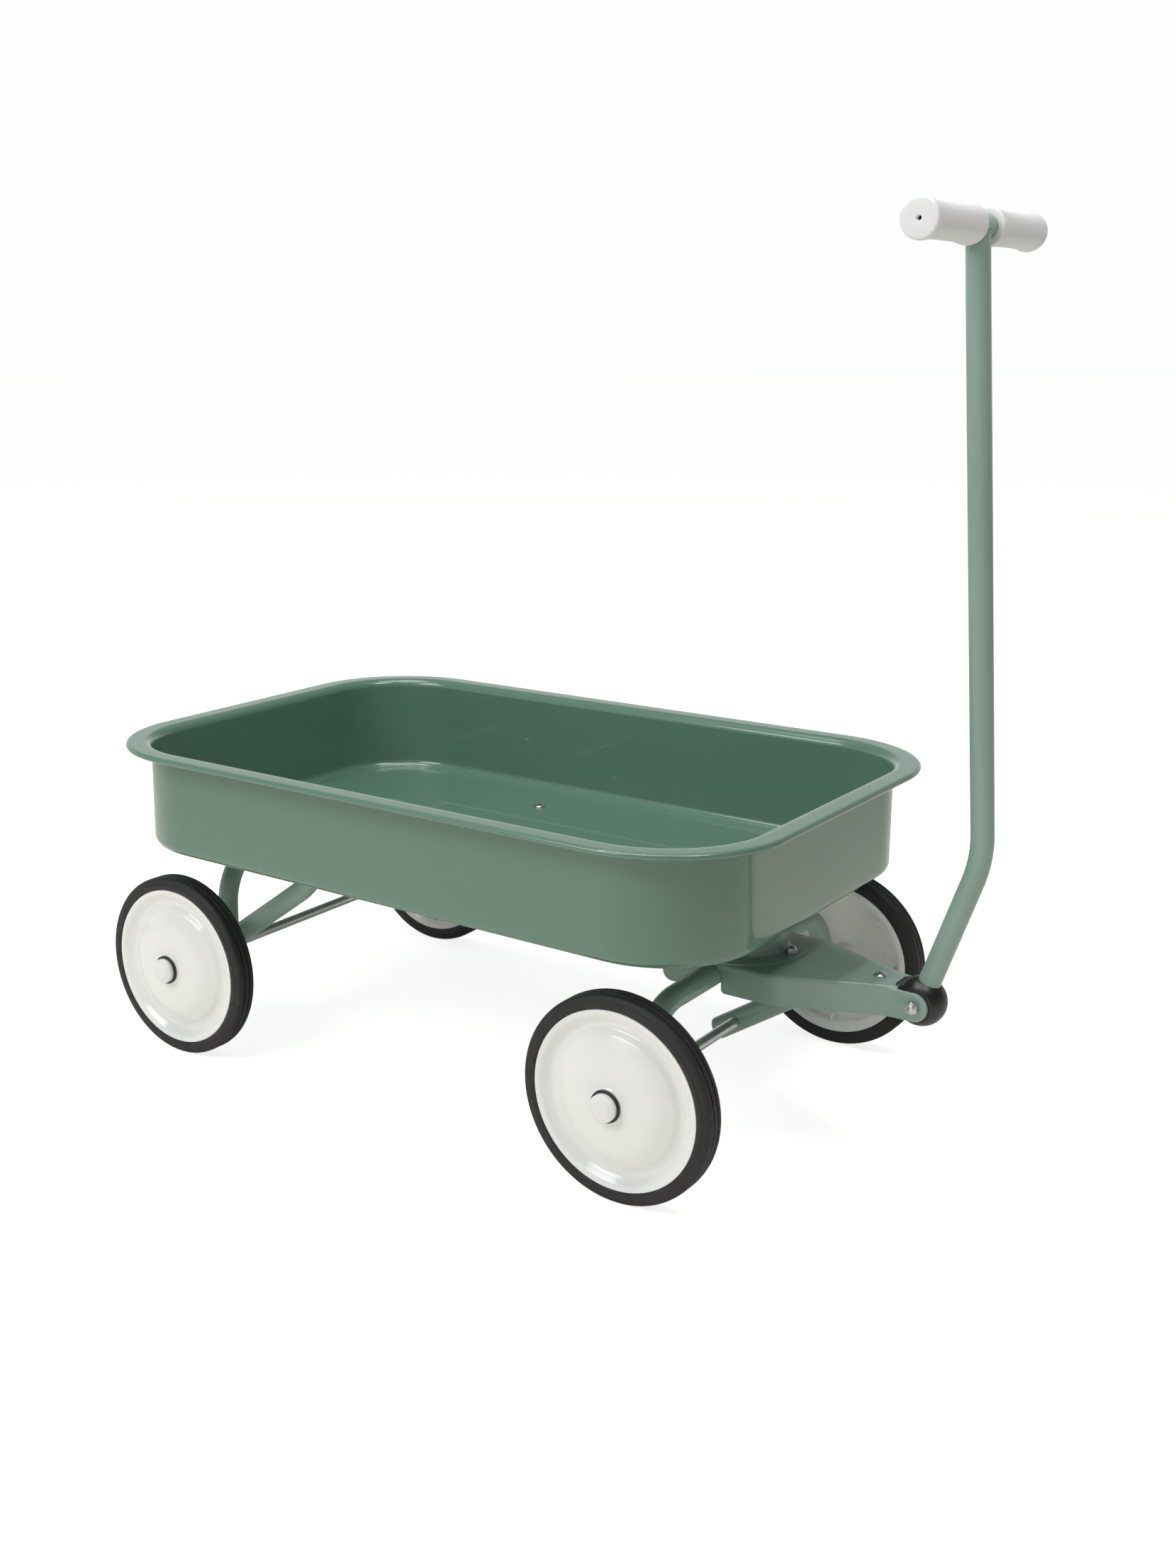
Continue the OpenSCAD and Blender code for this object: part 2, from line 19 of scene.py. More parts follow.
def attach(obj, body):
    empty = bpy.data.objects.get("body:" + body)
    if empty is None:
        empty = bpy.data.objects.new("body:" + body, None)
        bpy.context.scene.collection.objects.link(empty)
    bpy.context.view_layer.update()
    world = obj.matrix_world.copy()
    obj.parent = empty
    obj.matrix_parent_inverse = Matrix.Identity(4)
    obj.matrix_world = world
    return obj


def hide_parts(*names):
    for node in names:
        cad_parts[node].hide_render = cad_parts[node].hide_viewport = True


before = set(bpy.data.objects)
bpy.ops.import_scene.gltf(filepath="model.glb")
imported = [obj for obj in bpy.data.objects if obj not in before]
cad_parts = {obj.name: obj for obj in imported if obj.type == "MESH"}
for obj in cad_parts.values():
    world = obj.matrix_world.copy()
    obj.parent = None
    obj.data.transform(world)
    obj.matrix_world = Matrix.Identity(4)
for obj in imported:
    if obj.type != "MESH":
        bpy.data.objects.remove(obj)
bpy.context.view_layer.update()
MM = 0.001
REAR_X, FRONT_X, AXLE_Z = -315.0, 193.0, 88.9

# %% [markdown]
# ## Shape helpers
#
# Almost every piece is a loft: a row of rings of points joined by four-sided faces. A lathe
# piece has rings round an axis, and a tube has rings along a path. `fillet` rounds the
# corners of an outline, because no real edge is perfectly sharp.

# %% Outlines, lofts and lathes


def fillet(points, radius, steps=4):
    """A closed outline with its corners rounded. A point is (x, y) or (x, y, own radius)."""
    out, n = [], len(points)
    for i, p in enumerate(points):
        a, b, c = (np.array(points[(i + k) % n][:2], float) for k in (-1, 0, 1))
        r = p[2] if len(p) > 2 else radius
        u, v = a - b, c - b
        len_u, len_v = np.linalg.norm(u), np.linalg.norm(v)
        u, v = u / len_u, v / len_v
        corner = math.acos(max(-1.0, min(1.0, float(u @ v))))
        if r <= 0 or corner > math.pi - 0.01:
            out.append(b)
            continue
        back = min(r / math.tan(corner / 2), 0.46 * len_u, 0.46 * len_v)
        r = back * math.tan(corner / 2)
        centre = b + (u + v) / np.linalg.norm(u + v) * r / math.sin(corner / 2)
        start, end = b + u * back - centre, b + v * back - centre
        a0 = math.atan2(start[1], start[0])
        turn = math.remainder(math.atan2(end[1], end[0]) - a0, 2 * math.pi)
        for k in range(steps + 1):
            angle = a0 + turn * k / steps
            out.append(centre + r * np.array([math.cos(angle), math.sin(angle)]))
    return np.array(out)


def loft(rings, loop=False, caps=False):
    """Faces between neighbouring rings. loop joins last to first, caps closes both ends."""
    n, m = len(rings), len(rings[0])
    faces = []
    for i in range(n if loop else n - 1):
        a, b = i * m, ((i + 1) % n) * m
        faces += [(a + j, a + (j + 1) % m, b + (j + 1) % m, b + j) for j in range(m)]
    if caps:
        faces += [tuple(range(m))[::-1], tuple(range((n - 1) * m, n * m))]
    return np.concatenate(rings), faces


def lathe(outline, sides=128):
    """A closed outline of (radius, distance along Y) turned round the Y axis."""
    a = np.linspace(0, 2 * math.pi, sides, endpoint=False)
    rings = [np.stack([r * np.cos(a), np.full(sides, y), r * np.sin(a)], 1) for r, y in outline]
    return loft(rings, loop=True)


def upright(part):
    """Turns a lathe part from the Y axis to the Z axis."""
    verts, faces = part
    return np.stack([verts[:, 0], -verts[:, 2], verts[:, 1]], 1), faces


def moved(part, x=0.0, y=0.0, z=0.0):
    return part[0] + np.array([x, y, z]), part[1]


def mirrored(part):
    return part[0] * np.array([1, -1, 1]), [f[::-1] for f in part[1]]


def joined(*parts):
    faces, start = [], 0
    for verts, own in parts:
        faces += [tuple(i + start for i in f) for f in own]
        start += len(verts)
    return np.concatenate([p[0] for p in parts]), faces


def pair(part):
    """The part and its mirror image across the wagon's centre plane."""
    return joined(part, mirrored(part))


def turned_z(part, degrees):
    a = math.radians(degrees)
    spin = np.array([[math.cos(a), -math.sin(a), 0], [math.sin(a), math.cos(a), 0], [0, 0, 1]])
    return part[0] @ spin.T, part[1]


# %% Mesh objects


def to_object(name, part, material, sharp=38):
    """A closed mesh object at the origin, smooth except at edges sharper than `sharp`."""
    mesh = bpy.data.meshes.new(name)
    mesh.from_pydata((part[0] * MM).tolist(), [], part[1])
    bm = bmesh.new()
    bm.from_mesh(mesh)
    bmesh.ops.remove_doubles(bm, verts=bm.verts, dist=2e-7)
    bmesh.ops.recalc_face_normals(bm, faces=bm.faces)
    bm.to_mesh(mesh)
    bm.free()
    mesh.materials.append(material)
    smooth(mesh, sharp)
    obj = bpy.data.objects.new(name, mesh)
    bpy.context.scene.collection.objects.link(obj)
    return obj


def smooth(mesh, sharp):
    mesh.polygons.foreach_set("use_smooth", [True] * len(mesh.polygons))
    mesh.set_sharp_from_angle(angle=math.radians(sharp))


def bake(obj, sharp=38):
    """Applies the object's modifiers, so that what is seen is what is stored."""
    graph = bpy.context.evaluated_depsgraph_get()
    graph.update()
    mesh = bpy.data.meshes.new_from_object(obj.evaluated_get(graph))
    obj.modifiers.clear()
    obj.data = mesh
    smooth(mesh, sharp)
    return obj


def cut(obj, part, operation="DIFFERENCE"):
    """Cuts the object with a closed part, or keeps only what lies inside it."""
    tool = to_object("tool", part, obj.data.materials[0])
    mod = obj.modifiers.new("cut", "BOOLEAN")
    mod.operation, mod.solver, mod.object = operation, "EXACT", tool
    bake(obj)
    bpy.data.objects.remove(tool)
    return obj


def soften(obj, width, degrees=45, sharp=38):
    """Breaks the sharp edges with a narrow rounded bevel."""
    mod = obj.modifiers.new("edge", "BEVEL")
    mod.width, mod.segments, mod.limit_method = width * MM, 2, "ANGLE"
    mod.angle_limit, mod.use_clamp_overlap = math.radians(degrees), True
    return bake(obj, sharp)


def fit(obj, body, slot, *nodes):
    """Hands a finished piece to the frame: its body and the nodes it shows. The slot argument is
    not used.
    """
    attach(obj, body)
    if nodes:
        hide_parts(*nodes)
    print(f"{obj.name}: {len(obj.data.polygons)} faces on {body}")
    return obj


# %% [markdown]
# ## Shared shader effects
#
# Three small node groups are used again and again. `fine relief` turns noise into a bump, for
# orange peel in paint or grain in plastic. `cloud` gives a slow variation between two values,
# and `specks` gives a mask of scattered dust. Every group reads object coordinates in metres.

# %% Shader groups


def add(tree, kind, inputs=None, **settings):
    """Adds a node. An input is a constant, or a socket to link from."""
    made = tree.nodes.new(kind)
    for key, value in settings.items():
        setattr(made, key, value)
    for key, value in (inputs or {}).items():
        if isinstance(value, bpy.types.NodeSocket):
            tree.links.new(value, made.inputs[key])
        else:
            made.inputs[key].default_value = value
    return made


def group_tree(name, inputs, outputs):
    tree = bpy.data.node_groups.new(name, "ShaderNodeTree")
    for label, kind, value in inputs:
        socket = tree.interface.new_socket(label, in_out="INPUT", socket_type=kind)
        socket.default_value = value
    for label, kind in outputs:
        tree.interface.new_socket(label, in_out="OUTPUT", socket_type=kind)
    return tree, tree.nodes.new("NodeGroupInput"), tree.nodes.new("NodeGroupOutput")


def relief_group():
    tree, given, result = group_tree(
        "fine relief",
        [("Scale", "NodeSocketFloat", 400.0), ("Height", "NodeSocketFloat", 0.00001)],
        [("Normal", "NodeSocketVector")],
    )
    place = add(tree, "ShaderNodeTexCoord").outputs["Object"]
    noise = add(
        tree,
        "ShaderNodeTexNoise",
        {"Vector": place, "Scale": given.outputs["Scale"], "Detail": 2.0, "Roughness": 0.5},
    )
    bump = add(
        tree,
        "ShaderNodeBump",
        {"Height": noise.outputs["Fac"], "Distance": given.outputs["Height"], "Strength": 1.0},
    )
    tree.links.new(bump.outputs["Normal"], result.inputs["Normal"])
    return tree


def cloud_group():
    tree, given, result = group_tree(
        "cloud",
        [
            ("Scale", "NodeSocketFloat", 8.0),
            ("Low", "NodeSocketFloat", 0.0),
            ("High", "NodeSocketFloat", 1.0),
        ],
        [("Value", "NodeSocketFloat")],
    )
    place = add(tree, "ShaderNodeTexCoord").outputs["Object"]
    noise = add(
        tree,
        "ShaderNodeTexNoise",
        {"Vector": place, "Scale": given.outputs["Scale"], "Detail": 4.0, "Roughness": 0.6},
    )
    ramp = add(
        tree,
        "ShaderNodeMapRange",
        {
            "Value": noise.outputs["Fac"],
            "From Min": 0.3,
            "From Max": 0.7,
            "To Min": given.outputs["Low"],
            "To Max": given.outputs["High"],
        },
    )
    tree.links.new(ramp.outputs["Result"], result.inputs["Value"])
    return tree


def specks_group():
    tree, given, result = group_tree(
        "specks",
        [
            ("Scale", "NodeSocketFloat", 300.0),
            ("Size", "NodeSocketFloat", 0.12),
            ("Share", "NodeSocketFloat", 0.2),
        ],
        [("Mask", "NodeSocketFloat")],
    )
    place = add(tree, "ShaderNodeTexCoord").outputs["Object"]
    cells = add(tree, "ShaderNodeTexVoronoi", {"Vector": place, "Scale": given.outputs["Scale"]})
    near = add(
        tree,
        "ShaderNodeMath",
        {0: cells.outputs["Distance"], 1: given.outputs["Size"]},
        operation="LESS_THAN",
    )
    pick = add(tree, "ShaderNodeSeparateColor", {"Color": cells.outputs["Color"]})
    chosen = add(
        tree,
        "ShaderNodeMath",
        {0: pick.outputs["Red"], 1: given.outputs["Share"]},
        operation="LESS_THAN",
    )
    both = add(
        tree,
        "ShaderNodeMath",
        {0: near.outputs["Value"], 1: chosen.outputs["Value"]},
        operation="MULTIPLY",
    )
    tree.links.new(both.outputs["Value"], result.inputs["Mask"])
    return tree


RELIEF, CLOUD, SPECKS = relief_group(), cloud_group(), specks_group()
print("shader groups:", RELIEF.name, CLOUD.name, SPECKS.name)

# %% [markdown]
# ## Materials
#
# A finish here is two close colours that drift into each other, a roughness that varies a
# little, and a fine relief. The paint and the wheel plastic also have a clear coat. The tray
# has a glossy green paint, and the tubes, bracket and handle a paler one with less gloss.

# %% Finishes


def finish_material(name, light, dark, rough, relief, metallic=0.0, coat=0.0, cloud=6.0,
                    dust=None, subsurface=0.0, specular=0.5, coat_rough=0.12):
    """light and dark are linear colours, rough is (low, high), relief is (scale, height)."""
    mat = bpy.data.materials.new(name)
    mat.use_nodes = True
    tree = mat.node_tree
    surface = tree.nodes["Principled BSDF"]

    def grouped(group, **values):
        made = add(tree, "ShaderNodeGroup", node_tree=group)
        for key, value in values.items():
            made.inputs[key].default_value = value
        return made

    tint = grouped(CLOUD, Scale=cloud, Low=0.0, High=1.0)
    mix = add(tree, "ShaderNodeMix", {"Factor": tint.outputs["Value"]}, data_type="RGBA")
    mix.inputs["A"].default_value = (*light, 1)
    mix.inputs["B"].default_value = (*dark, 1)
    colour = mix.outputs["Result"]
    gloss = grouped(CLOUD, Scale=cloud * 4.5, Low=rough[0], High=rough[1]).outputs["Value"]
    if dust:
        mask = grouped(SPECKS, Scale=dust[0], Size=dust[1], Share=dust[2]).outputs["Mask"]
        over = add(tree, "ShaderNodeMix", {"Factor": mask, "A": colour}, data_type="RGBA")
        over.inputs["B"].default_value = (*dust[3], 1)
        colour = over.outputs["Result"]
    bump = grouped(RELIEF, Scale=relief[0], Height=relief[1])
    tree.links.new(colour, surface.inputs["Base Color"])
    tree.links.new(gloss, surface.inputs["Roughness"])
    tree.links.new(bump.outputs["Normal"], surface.inputs["Normal"])
    surface.inputs["Metallic"].default_value = metallic
    surface.inputs["Specular IOR Level"].default_value = specular
    surface.inputs["Coat Weight"].default_value = coat
    surface.inputs["Coat Roughness"].default_value = coat_rough
    surface.inputs["Subsurface Weight"].default_value = subsurface
    surface.inputs["Subsurface Scale"].default_value = 0.004
    return mat


GREEN = finish_material(
    "green paint", (0.112, 0.220, 0.156), (0.106, 0.211, 0.149), (0.22, 0.28),
    (420, 0.0000020), coat=0.6, cloud=5.0, coat_rough=0.05,
)
SAGE = finish_material(
    "frame paint", (0.270, 0.388, 0.330), (0.258, 0.375, 0.318), (0.28, 0.36),
    (520, 0.000004), coat=0.25, cloud=7.0,
)
WHITE = finish_material(
    "wheel plastic", (0.90, 0.90, 0.885), (0.88, 0.88, 0.86), (0.16, 0.22),
    (38, 0.00006), coat=0.35, cloud=9.0, subsurface=0.06,
)
CAP_WHITE = finish_material(
    "cap plastic", (0.87, 0.87, 0.86), (0.84, 0.84, 0.83), (0.28, 0.36), (300, 0.00001),
    coat=0.2, cloud=30.0,
)
RUBBER = finish_material(
    "tyre rubber", (0.021, 0.020, 0.022), (0.015, 0.0145, 0.016), (0.50, 0.66),
    (900, 0.00002), cloud=18.0, dust=(420, 0.16, 0.10, (0.16, 0.15, 0.14)), specular=0.45,
)
ZINC = finish_material(
    "zinc plate", (0.70, 0.70, 0.68), (0.55, 0.56, 0.56), (0.16, 0.30), (700, 0.000006),
    metallic=1.0, cloud=60.0,
)
GRIP_WHITE = finish_material(
    "grip plastic", (0.86, 0.86, 0.86), (0.83, 0.83, 0.83), (0.46, 0.56),
    (1500, 0.00006), cloud=25.0, subsurface=0.05,
)
BALL_BLACK = finish_material(
    "ball plastic", (0.016, 0.016, 0.018), (0.012, 0.012, 0.014), (0.30, 0.40),
    (600, 0.00001), cloud=25.0,
)
RING_BLACK = finish_material(
    "ring plastic", (0.018, 0.018, 0.019), (0.013, 0.013, 0.014), (0.38, 0.50),
    (700, 0.00001), cloud=40.0,
)
NYLON = finish_material(
    "washer nylon", (0.70, 0.69, 0.64), (0.66, 0.65, 0.60), (0.45, 0.55), (800, 0.00001),
    cloud=20.0, subsurface=0.1,
)
print("finishes made:", len(bpy.data.materials))

# %% [markdown]
# ## The tray
#
# The tray is one sheet 1.2 mm thick, drawn into a box with round corners. Its section is a
# closed outline: a rolled bead, the flat flange, the turn into the wall, the wall, and the
# turn into the floor. Every point of the section becomes a ring round the plan, inset from
# the rim. On the floor the rings change shape until they follow the raised panel, so the
# panel's pressed edge is smooth.

# %% Tray sheet
TRAY_X = -61.0
RIM_L, RIM_W, RIM_R = 354.0, 236.0, 115.0
RIM_TOP, UNDER, SHEET = 305.6, 202.7, 1.2
WALL_IN, BEAD, TURN, FOOT = 24.2, 2.6, 8.0, 9.0


def plan_ring(half_l, half_w, r, z, corner=30, long=44, short=26):
    """Points round a rounded rectangle; their number is the same at any size."""
    points = []
    signs = [(1, 1), (-1, 1), (-1, -1), (1, -1)]
    arcs = []
    for k, (sx, sy) in enumerate(signs):
        a = np.radians(90 * k + np.linspace(0, 90, corner + 1))
        centre = np.array([sx * (half_l - r), sy * (half_w - r)])
        arcs.append(centre + r * np.stack([np.cos(a), np.sin(a)], 1))
    for k in range(4):
        points.append(arcs[k])
        steps = long if k % 2 == 0 else short
        t = np.linspace(0, 1, steps + 1)[1:-1, None]
        points.append(arcs[k][-1] * (1 - t) + arcs[(k + 1) % 4][0] * t)
    flat = np.concatenate(points)
    return np.column_stack([flat[:, 0] + TRAY_X, flat[:, 1], np.full(len(flat), z)])


def arc(cx, cz, r, start, end, steps):
    """Points on an arc, angles in degrees."""
    return [
        (cx + r * math.cos(math.radians(a)), cz + r * math.sin(math.radians(a)))
        for a in np.linspace(start, end, steps + 1)
    ]


def press_height(offset, rise=1.5, soft=2.2, lip=1.0):
    """Height of a pressing at a distance outside (+) or inside (-) its outline.

    A low rounded lip runs along its edge.
    """
    t = min(1.0, max(0.0, (soft - offset) / (2 * soft)))
    crest = math.cos(math.radians(90) * min(1.0, abs(offset + 2.0) / 2.6)) ** 2
    return rise * t * t * (3 - 2 * t) + lip * crest


# section points are (inset from the rim, height), first over the top, then underneath
bead_join = math.degrees(math.asin((BEAD - SHEET) / BEAD))
over_top = arc(BEAD, RIM_TOP - BEAD, BEAD, bead_join, -270, 20)
over_top += [(5.5, RIM_TOP), (9.0, RIM_TOP), (13.0, RIM_TOP)]
turn_x = WALL_IN + SHEET - TURN
over_top += arc(turn_x, RIM_TOP - TURN, TURN, 90, 0, 10)
over_top += [(WALL_IN + SHEET, z) for z in np.linspace(RIM_TOP - TURN - 6, UNDER + FOOT + 6, 9)]
over_top += arc(WALL_IN + FOOT, UNDER + FOOT, FOOT - SHEET, 180, 270, 10)
underneath = arc(WALL_IN + FOOT, UNDER + FOOT, FOOT, 270, 180, 10)
underneath += [(WALL_IN, z) for z in np.linspace(UNDER + FOOT + 6, RIM_TOP - TURN - 6, 9)]
underneath += arc(turn_x, RIM_TOP - TURN, TURN - SHEET, 0, 90, 8)
underneath += [(10.0, RIM_TOP - SHEET), (6.5, RIM_TOP - SHEET)]

PANEL_L, PANEL_W, PANEL_R = 156.5, 91.0, 11.0
floor_inset = WALL_IN + FOOT
floor_plan = np.array([RIM_L - floor_inset, RIM_W - floor_inset, RIM_R - floor_inset])
panel_plan = np.array([PANEL_L, PANEL_W, PANEL_R])


def floor_rings(level):
    """Rings from the foot of the wall in to the middle of the floor."""
    rings = []
    for t in np.linspace(0.06, 1, 14) ** 0.9:
        size = floor_plan * (1 - t) + (panel_plan + 7) * t
        rings.append(plan_ring(*size, level))
    for offset in (5, 4, 3, *np.arange(2.4, -5.0, -0.45), -6, -7):
        size = panel_plan + offset
        rings.append(plan_ring(size[0], size[1], max(size[2], 1.5), level + press_height(offset)))
    inner = panel_plan - 7
    for t in (0.25, 0.5, 0.72, 0.9):
        rings.append(plan_ring(inner[0] * (1 - t) + 8, inner[1] * (1 - t) + 4, 3.0,
                               level + press_height(-7)))
    return rings


def section_rings(points):
    return [plan_ring(RIM_L - d, RIM_W - d, RIM_R - d, z) for d, z in points]


top_floor = floor_rings(UNDER + SHEET)
low_floor = floor_rings(UNDER)
shell = section_rings(over_top) + top_floor
outside = low_floor[::-1] + section_rings(underneath)
count = len(shell[0])
ring_faces = loft(shell + outside, loop=True)
# the seam between the two middle rings is replaced by a flat end on each side
middle = (len(shell) - 1) * count
sheet_faces = [f for f in ring_faces[1] if not (min(f) >= middle and max(f) < middle + 2 * count
                                                and max(f) >= middle + count)]
sheet_faces.append(tuple(range(middle, middle + count)))
sheet_faces.append(tuple(range(middle + count, middle + 2 * count))[::-1])
tray = to_object("tray_sheet", (ring_faces[0], sheet_faces), GREEN, sharp=60)
fit(tray, "chassis", "green_paint", "tray")

# two round pressed bosses near the tail
boss_line = [(0.0, UNDER + 0.4)]
boss_line += [(26.0, UNDER + 0.4), (26.0, UNDER + SHEET + 0.01)]
for offset in np.linspace(2.4, -5.0, 18):
    boss_line.append((23.0 + offset, UNDER + SHEET + 0.02 + press_height(offset)))
boss_line.append((0.0, UNDER + SHEET + 1.52))
boss = upright(lathe(boss_line, 72))
bosses = joined(moved(boss, REAR_X + 57, 45), moved(boss, REAR_X + 57, -45))
fit(to_object("tray_bosses", bosses, GREEN, sharp=70), "chassis", "green_paint")

# %% [markdown]
# ## Tube frames and braces
#
# A tube is two walls of rings along a path, joined by a rounded lip at each end. The braces
# start round and are pressed flat where a screw holds them, so their rings change from a
# circle to a wide, thin shape along the way.

# %% Tubes


def run_of(path):
    """Unit directions along a path of points."""
    path = np.asarray(path, float)
    ahead = np.gradient(path, axis=0)
    return ahead / np.linalg.norm(ahead, axis=1)[:, None]


def tube(path, side, radius, wall, sides=56, top_ring=None):
    """A hollow tube along a flat path. side is the normal of the path's plane.
    top_ring, if given, reshapes the last ring: it maps (angle, radius) to an extra length."""
    path, side = np.asarray(path, float), np.asarray(side, float)
    ahead = run_of(path)
    angle = np.linspace(0, 2 * math.pi, sides, endpoint=False)
    lip = 0.25

    def ring(i, r, along=0.0, shaped=False):
        up = np.cross(side, ahead[i])
        out = r * (np.cos(angle)[:, None] * up + np.sin(angle)[:, None] * side)
        extra = np.full(sides, float(along))
        if shaped and top_ring is not None:
            extra = top_ring(angle, r) + along
        return path[i] + out + extra[:, None] * ahead[i]

    last, inner = len(path) - 1, radius - wall
    rings = [ring(0, inner + lip), ring(0, radius - lip), ring(0, radius, lip)]
    rings += [ring(i, radius) for i in range(1, last)]
    rings += [ring(last, radius, -lip, True), ring(last, radius - lip, 0, True)]
    rings += [ring(last, inner + lip, 0, True), ring(last, inner, -lip, True)]
    rings += [ring(i, inner) for i in range(last - 1, 0, -1)]
    rings.append(ring(0, inner, lip))
    return loft(rings, loop=True)


def u_path(leg_y, top, bend, low, x):
    """Up one leg, round the bend, across the top and down the other leg."""
    bends = np.radians(np.linspace(0, 90, 19))
    left = [(x, leg_y, z) for z in np.linspace(low, top - bend, 6)[:-1]]
    left += [
        (x, leg_y - bend + bend * math.cos(a), top - bend + bend * math.sin(a)) for a in bends
    ]
    across = [(x, y, top) for y in np.linspace(leg_y - bend, 0, 6)[1:]]
    half = left + across
    return half + [(p[0], -p[1], p[2]) for p in half[-2::-1]]


TUBE_R, TUBE_WALL = 10.0, 1.5
LEG_LOW = AXLE_Z - 15
REAR_LEG_Y, REAR_BEND = 137, 60
FRONT_LEG_Y, FRONT_BEND, FRONT_TOP = 166, 50, 148.3
rear_frame = tube(u_path(REAR_LEG_Y, UNDER - TUBE_R, REAR_BEND, LEG_LOW, REAR_X), (1, 0, 0),
                  TUBE_R, TUBE_WALL)
fit(to_object("rear_frame_tube", rear_frame, SAGE), "chassis", "green_paint", "rear_frame")
front_frame = tube(u_path(FRONT_LEG_Y, FRONT_TOP, FRONT_BEND, LEG_LOW, FRONT_X), (1, 0, 0),
                   TUBE_R, TUBE_WALL)
fit(to_object("front_frame_tube", front_frame, SAGE), "front_truck", "green_paint", "front_frame")

# %% Braces


def smoothstep(t):
    t = np.clip(t, 0, 1)
    return t * t * (3 - 2 * t)


def brace(slope, tab_top, reach, below=25.0, bend=34.0, half_tab=13.0, half_t=1.5):
    """A tube that crosses the axle, rises forward and is pressed flat under its screw.
    Local axes: the axle's centre is x = 0, y = 0 at the axle's height."""
    sin, cos = math.sin(math.radians(slope)), math.cos(math.radians(slope))
    flat_z = tab_top - half_t
    corner = (flat_z - AXLE_Z) / sin
    set_back = bend * math.tan(math.radians(slope / 2))
    straight = corner - set_back
    path = [(s * cos, 0, AXLE_Z + s * sin) for s in np.linspace(-below, straight, 36)]
    arc_centre = (straight * cos + bend * sin, AXLE_Z + straight * sin - bend * cos)
    for a in np.radians(np.linspace(90 + slope, 90, 14))[1:]:
        path.append((arc_centre[0] + bend * math.cos(a), 0, arc_centre[1] + bend * math.sin(a)))
    path += [(x, 0, flat_z) for x in np.linspace(path[-1][0], reach, 8)[1:]]
    round_end = np.radians([15, 30, 45, 58, 68, 76, 82, 86, 89])
    path += [(reach + half_tab * math.sin(a), 0, flat_z) for a in round_end]
    path = np.array(path)
    ahead, side = run_of(path), np.array([0.0, 1.0, 0.0])
    gone = np.concatenate([[0], np.cumsum(np.linalg.norm(np.diff(path, axis=0), axis=1))])
    press = smoothstep((gone - (corner + below - 52)) / 40)
    angle = np.linspace(0, 2 * math.pi, 64, endpoint=False)
    c, s = np.cos(angle), np.sin(angle)

    def ring(i, shrink=0.0, along=0.0):
        p = press[i]
        half_w = TUBE_R + (half_tab - TUBE_R) * p
        thick = TUBE_R + (half_t - TUBE_R) * p
        past = path[i][0] - reach
        if past > 0:
            half_w = math.sqrt(max(half_tab ** 2 - past ** 2, 0.3))
        power = 1 - 0.62 * p
        wide = np.sign(s) * np.abs(s) ** power * (half_w - shrink)
        tall = np.sign(c) * np.abs(c) ** power * (thick - shrink)
        up = np.cross(side, ahead[i])
        return path[i] + along * ahead[i] + wide[:, None] * side + tall[:, None] * up

    rings = [ring(i) for i in range(1, len(path))]
    rings = [ring(0, 1.25), ring(0, 0.25), ring(0, 0, 0.25)] + rings
    depth = 24
    bore = [ring(i, 1.5 if i < depth else 6.0) for i in range(depth, 0, -1)] + [ring(0, 1.5, 0.25)]
    verts, faces = loft(bore + rings)
    n, m = len(bore + rings), len(angle)
    faces += [tuple(range(m))[::-1], tuple(range((n - 1) * m, n * m))]
    return verts, faces


BRACE_Y, SCREW_X, SCREW_Y = 157.5, 190.0, 138.0
REAR_SLOPE, FRONT_SLOPE, BRACE_REACH, UNDER_PLATE = 36.5, 33.4, 131.5, 158.3
toe = math.degrees(math.atan2(BRACE_Y - SCREW_Y, SCREW_X))
rear_brace = brace(REAR_SLOPE, UNDER, math.hypot(SCREW_X, BRACE_Y - SCREW_Y))
rear_brace = turned_z(rear_brace, -toe)
rear_brace = moved(rear_brace, REAR_X, BRACE_Y)
fit(to_object("rear_brace_tube_left", rear_brace, SAGE), "chassis", "green_paint",
    "rear_brace_left")
fit(to_object("rear_brace_tube_right", mirrored(rear_brace), SAGE), "chassis", "green_paint",
    "rear_brace_right")
front_brace = moved(brace(FRONT_SLOPE, UNDER_PLATE, BRACE_REACH), FRONT_X)
fit(to_object("front_brace_tube", front_brace, SAGE), "front_truck", "green_paint",
    "front_brace")

# %% [markdown]
# ## The folded bracket
#
# The bracket starts as a channel whose sides run in towards the ears. It is cut to its side
# view with a slot for the frame tube, then notched between the ears for the handle's ball.

# %% Bracket


def prism(outline, low, high, plane):
    """A closed outline pushed along the axis that is not in its plane, "xz" or "xy"."""
    rings = []
    for level in (low, high):
        full = np.full(len(outline), float(level))
        u, v = outline[:, 0], outline[:, 1]
        rings.append(np.stack([u, full, v] if plane == "xz" else [u, v, full], 1))
    return loft(rings, caps=True)


PLATE_TOP, BRACKET_T, FLANGE_LOW = 160.8, 2.5, 134.0
HINGE_X, HINGE_Z = 362.4, 147.3
EAR_X, EAR_R, EAR_HALF = 362.0, 12.4, 18.3


def bracket_half(x):
    """Half width of the bracket, with the two creases softened."""
    spread = np.linspace(-7, 7, 15)
    return float(np.mean(np.interp(x + spread, [250, 340], [56, EAR_HALF])))


